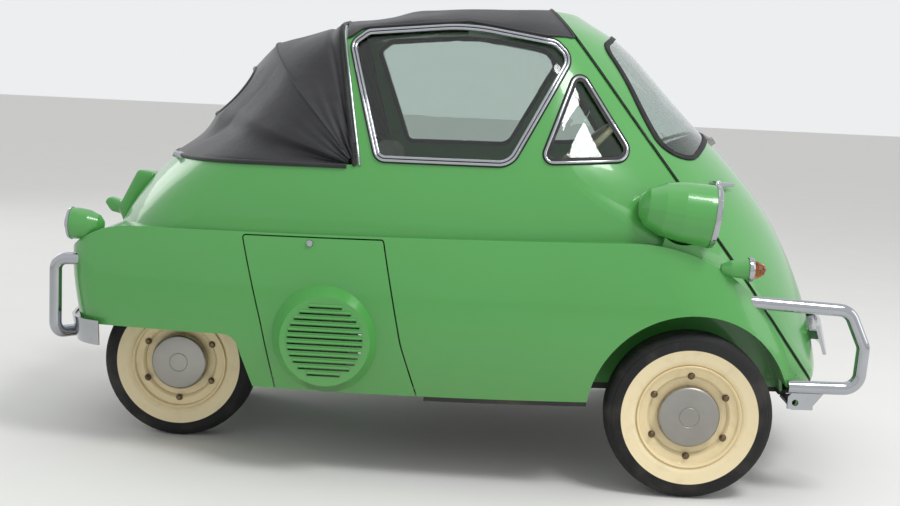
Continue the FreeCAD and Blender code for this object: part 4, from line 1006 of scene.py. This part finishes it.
class CAR_OT_fittings(bpy.types.Operator):
    """Lock and louvre lips of the engine cover, hood clips and the pod of the plate lamp"""

    bl_idname = "car.fittings"
    bl_label = "Fittings"

    def execute(self, context):
        cover = node_tree("engine_cover")
        at = struck(cover, (LOCK_X, -FAR, LOCK_Z), (0, 1, 0))
        lock = lathe("cover_lock", COVER_LOCK, at, (0, -1, 0.15), steps=32, closed=False)
        dress(lock, "engine_cover", "chrome", "chrome")
        lips = []
        middle_x, middle_z = LOUVRE_PLACE
        lip_rise, lip_radius = 0.0058, 0.0042
        for index in range(LOUVRE_COUNT):
            rise = (index - (LOUVRE_COUNT - 1) / 2) * LOUVRE_PITCH
            half = math.sqrt(LOUVRE_REACH ** 2 - rise ** 2)
            flat = [Vector((middle_x + half * share / 10, middle_z + rise + lip_rise))
                    for share in range(-10, 11)]
            lips.append(tube("lip", drape(cover, flat, SIDES["right"], 0.0005), lip_radius, sides=8))
        dress(joined("louvre_lips", lips), "engine_cover", "body_paint", "green")
        shell = node_tree("body_shell")
        clips = []
        for side in SIDES.values():
            at = struck(shell, (-FAR, side * CLIP_Y, CLIP_Z), (1, 0, 0))
            clips.append(lathe("clip_base", HOOD_CLIP, at, (-1, 0, 0.35), steps=32, closed=False))
        dress(joined("hood_clips", clips), "body", "chrome", "chrome")
        pod = close_up(copied("plate_lamp_housing", "plate_lamp_pod"))
        modified(pod, "REMESH", mode="VOXEL", voxel_size=0.005)
        modified(pod, "SMOOTH", iterations=24, factor=0.6)
        dress(smooth(pod, 80), "body", "body_paint", "green", "plate_lamp_housing")
        return {"FINISHED"}


class CAR_OT_finishes(bpy.types.Operator):
    """Finishes of the carried-over nodes"""

    bl_idname = "car.finishes"
    bl_label = "Node finishes"

    def execute(self, context):
        repaint("green", "body_shell", "front_door", "engine_cover", "engine_bulkhead", "seat_base",
                "instrument_panel", "headlamp_pods", "indicator_housings", "tail_lamp_pods")
        repaint("cream", "front_wheel_disc_right", "front_wheel_disc_left", "rear_wheel_discs")
        repaint("chrome", "headlamp_rims", "tail_lamp_rims", "front_bumper_guard_right",
                "front_bumper_guard_left", "door_bumper", "rear_bumper_guards", "rear_bumper_blade",
                "door_handle")
        repaint("dull_chrome", "wiper")
        repaint("grey_rubber", "side_window_frames", "vent_window_frames")
        repaint("rubber", "windscreen_frame", "pedals")
        repaint("glass", "side_window_glass", "vent_window_glass", "windscreen_glass")
        repaint("rear_pane", "hood_rear_window")
        repaint("clear_lens", "headlamp_lenses")
        repaint("amber", "indicator_lenses")
        repaint("red", "tail_lamp_lenses")
        repaint("cast", "front_brake_drum_right", "front_brake_drum_left", "rear_brake_drums", "engine_block",
                "rear_axle_case")
        repaint("steel", "rear_axle_shaft")
        repaint("chassis", "knuckle_right", "knuckle_left", "chassis_frame", "front_suspension_arms",
                "rear_leaf_springs", "steering_column", "levers", "track_rod")
        repaint("well", "floor_pan")
        repaint("ivory", "steering_wheel")
        return {"FINISHED"}


class CAR_OT_stage(bpy.types.Operator):
    """Pale floor, studio lights and the camera at the photograph's view"""

    bl_idname = "car.stage"
    bl_label = "Stage"

    def execute(self, context):
        scene = context.scene
        floor = settle(added("floor", bpy.ops.mesh.primitive_plane_add, size=60, location=(0, 10, 0)))
        stone = Finish("pale_floor", specular_ior_level=0.2)
        tone = tuple(scene.car_colours.floor)
        stone.set(base_color=stone.mix(stone.noise(3.0, 5.0), tone, tuple(value * 0.96 for value in tone)),
                  roughness=0.75)
        stone.bump(stone.noise(180.0, 4.0), 0.0004)
        floor.data.materials.append(stone.material)
        self.world(scene)
        for name, place, aim, size, power in LIGHTS:
            deselect()
            bpy.ops.object.light_add(type="AREA", location=place)
            lamp = bpy.context.object
            lamp.name = name
            lamp.data.size = size
            lamp.data.energy = power
            lamp.rotation_euler = (Vector(aim) - Vector(place)).to_track_quat("-Z", "Y").to_euler()
        self.camera(scene)
        scene.view_settings.view_transform = "Standard"
        return {"FINISHED"}

    def world(self, scene):
        """A soft grey sky that shows white to the camera, to glass and to metal."""
        world = bpy.data.worlds.new("studio")
        scene.world = world
        world.use_nodes = True
        nodes, links = world.node_tree.nodes, world.node_tree.links
        light = next(node for node in nodes if node.type == "BACKGROUND")
        light.inputs["Color"].default_value = (1, 1, 1, 1)
        light.inputs["Strength"].default_value = SKY_STRENGTH
        shown = nodes.new("ShaderNodeBackground")
        shown.inputs["Color"].default_value = (*linear(236, 238, 240), 1)
        path = nodes.new("ShaderNodeLightPath")
        seen = path.outputs["Is Camera Ray"]
        for ray in ("Is Transmission Ray", "Is Glossy Ray"):
            either = nodes.new("ShaderNodeMath")
            either.operation = "MAXIMUM"
            links.new(seen, either.inputs[0])
            links.new(path.outputs[ray], either.inputs[1])
            seen = either.outputs[0]
        mixed = nodes.new("ShaderNodeMixShader")
        links.new(seen, mixed.inputs[0])
        links.new(light.outputs[0], mixed.inputs[1])
        links.new(shown.outputs[0], mixed.inputs[2])
        out = next(node for node in nodes if node.type == "OUTPUT_WORLD")
        links.new(mixed.outputs[0], out.inputs["Surface"])

    def camera(self, scene):
        """The photograph's camera, which looks at the car's right side."""
        deselect()
        bpy.ops.object.camera_add(location=CAMERA_PLACE)
        camera = bpy.context.object
        camera.name = "photo_view"
        ahead = Vector((math.sin(YAW) * math.cos(PITCH), math.cos(YAW) * math.cos(PITCH), -math.sin(PITCH)))
        right = Vector((math.cos(YAW), -math.sin(YAW), 0))
        up = right.cross(ahead)
        across = right * math.cos(ROLL) + up * math.sin(ROLL)
        upright = up * math.cos(ROLL) - right * math.sin(ROLL)
        camera.rotation_euler = Matrix((across, upright, -ahead)).transposed().to_euler()
        camera.data.sensor_width = SENSOR_WIDTH
        camera.data.lens = FOCAL_PIXELS / PHOTO_PIXELS * SENSOR_WIDTH
        scene.camera = camera


class CAR_PT_panel(bpy.types.Panel):
    """Sizes, colours and the pieces in their order"""

    bl_label = "Bubble car"
    bl_space_type = "VIEW_3D"
    bl_region_type = "UI"
    bl_category = "Bubble Car"

    def draw(self, context):
        for group in (context.scene.car_sizes, context.scene.car_colours):
            for name in group.__annotations__:
                self.layout.prop(group, name)
        for operator in OPERATORS:
            self.layout.operator(operator.bl_idname)


OPERATORS = (CAR_OT_tyres, CAR_OT_wheel_fittings, CAR_OT_hood, CAR_OT_trim, CAR_OT_lamps, CAR_OT_seats,
             CAR_OT_fittings, CAR_OT_finishes, CAR_OT_stage)
CLASSES = (CarSizes, CarColours, *OPERATORS, CAR_PT_panel)


def register():
    for kind in CLASSES:
        bpy.utils.register_class(kind)
    bpy.types.Scene.car_sizes = bpy.props.PointerProperty(type=CarSizes)
    bpy.types.Scene.car_colours = bpy.props.PointerProperty(type=CarColours)


def unregister():
    del bpy.types.Scene.car_sizes
    del bpy.types.Scene.car_colours
    for kind in reversed(CLASSES):
        bpy.utils.unregister_class(kind)


def main():
    register()
    deselect()
    bpy.ops.car.tyres()
    bpy.ops.car.wheel_fittings()
    bpy.ops.car.hood()
    bpy.ops.car.trim()
    bpy.ops.car.lamps()
    bpy.ops.car.seats()
    bpy.ops.car.fittings()
    bpy.ops.car.finishes()
    bpy.ops.car.stage()


if __name__ == "__main__":
    main()
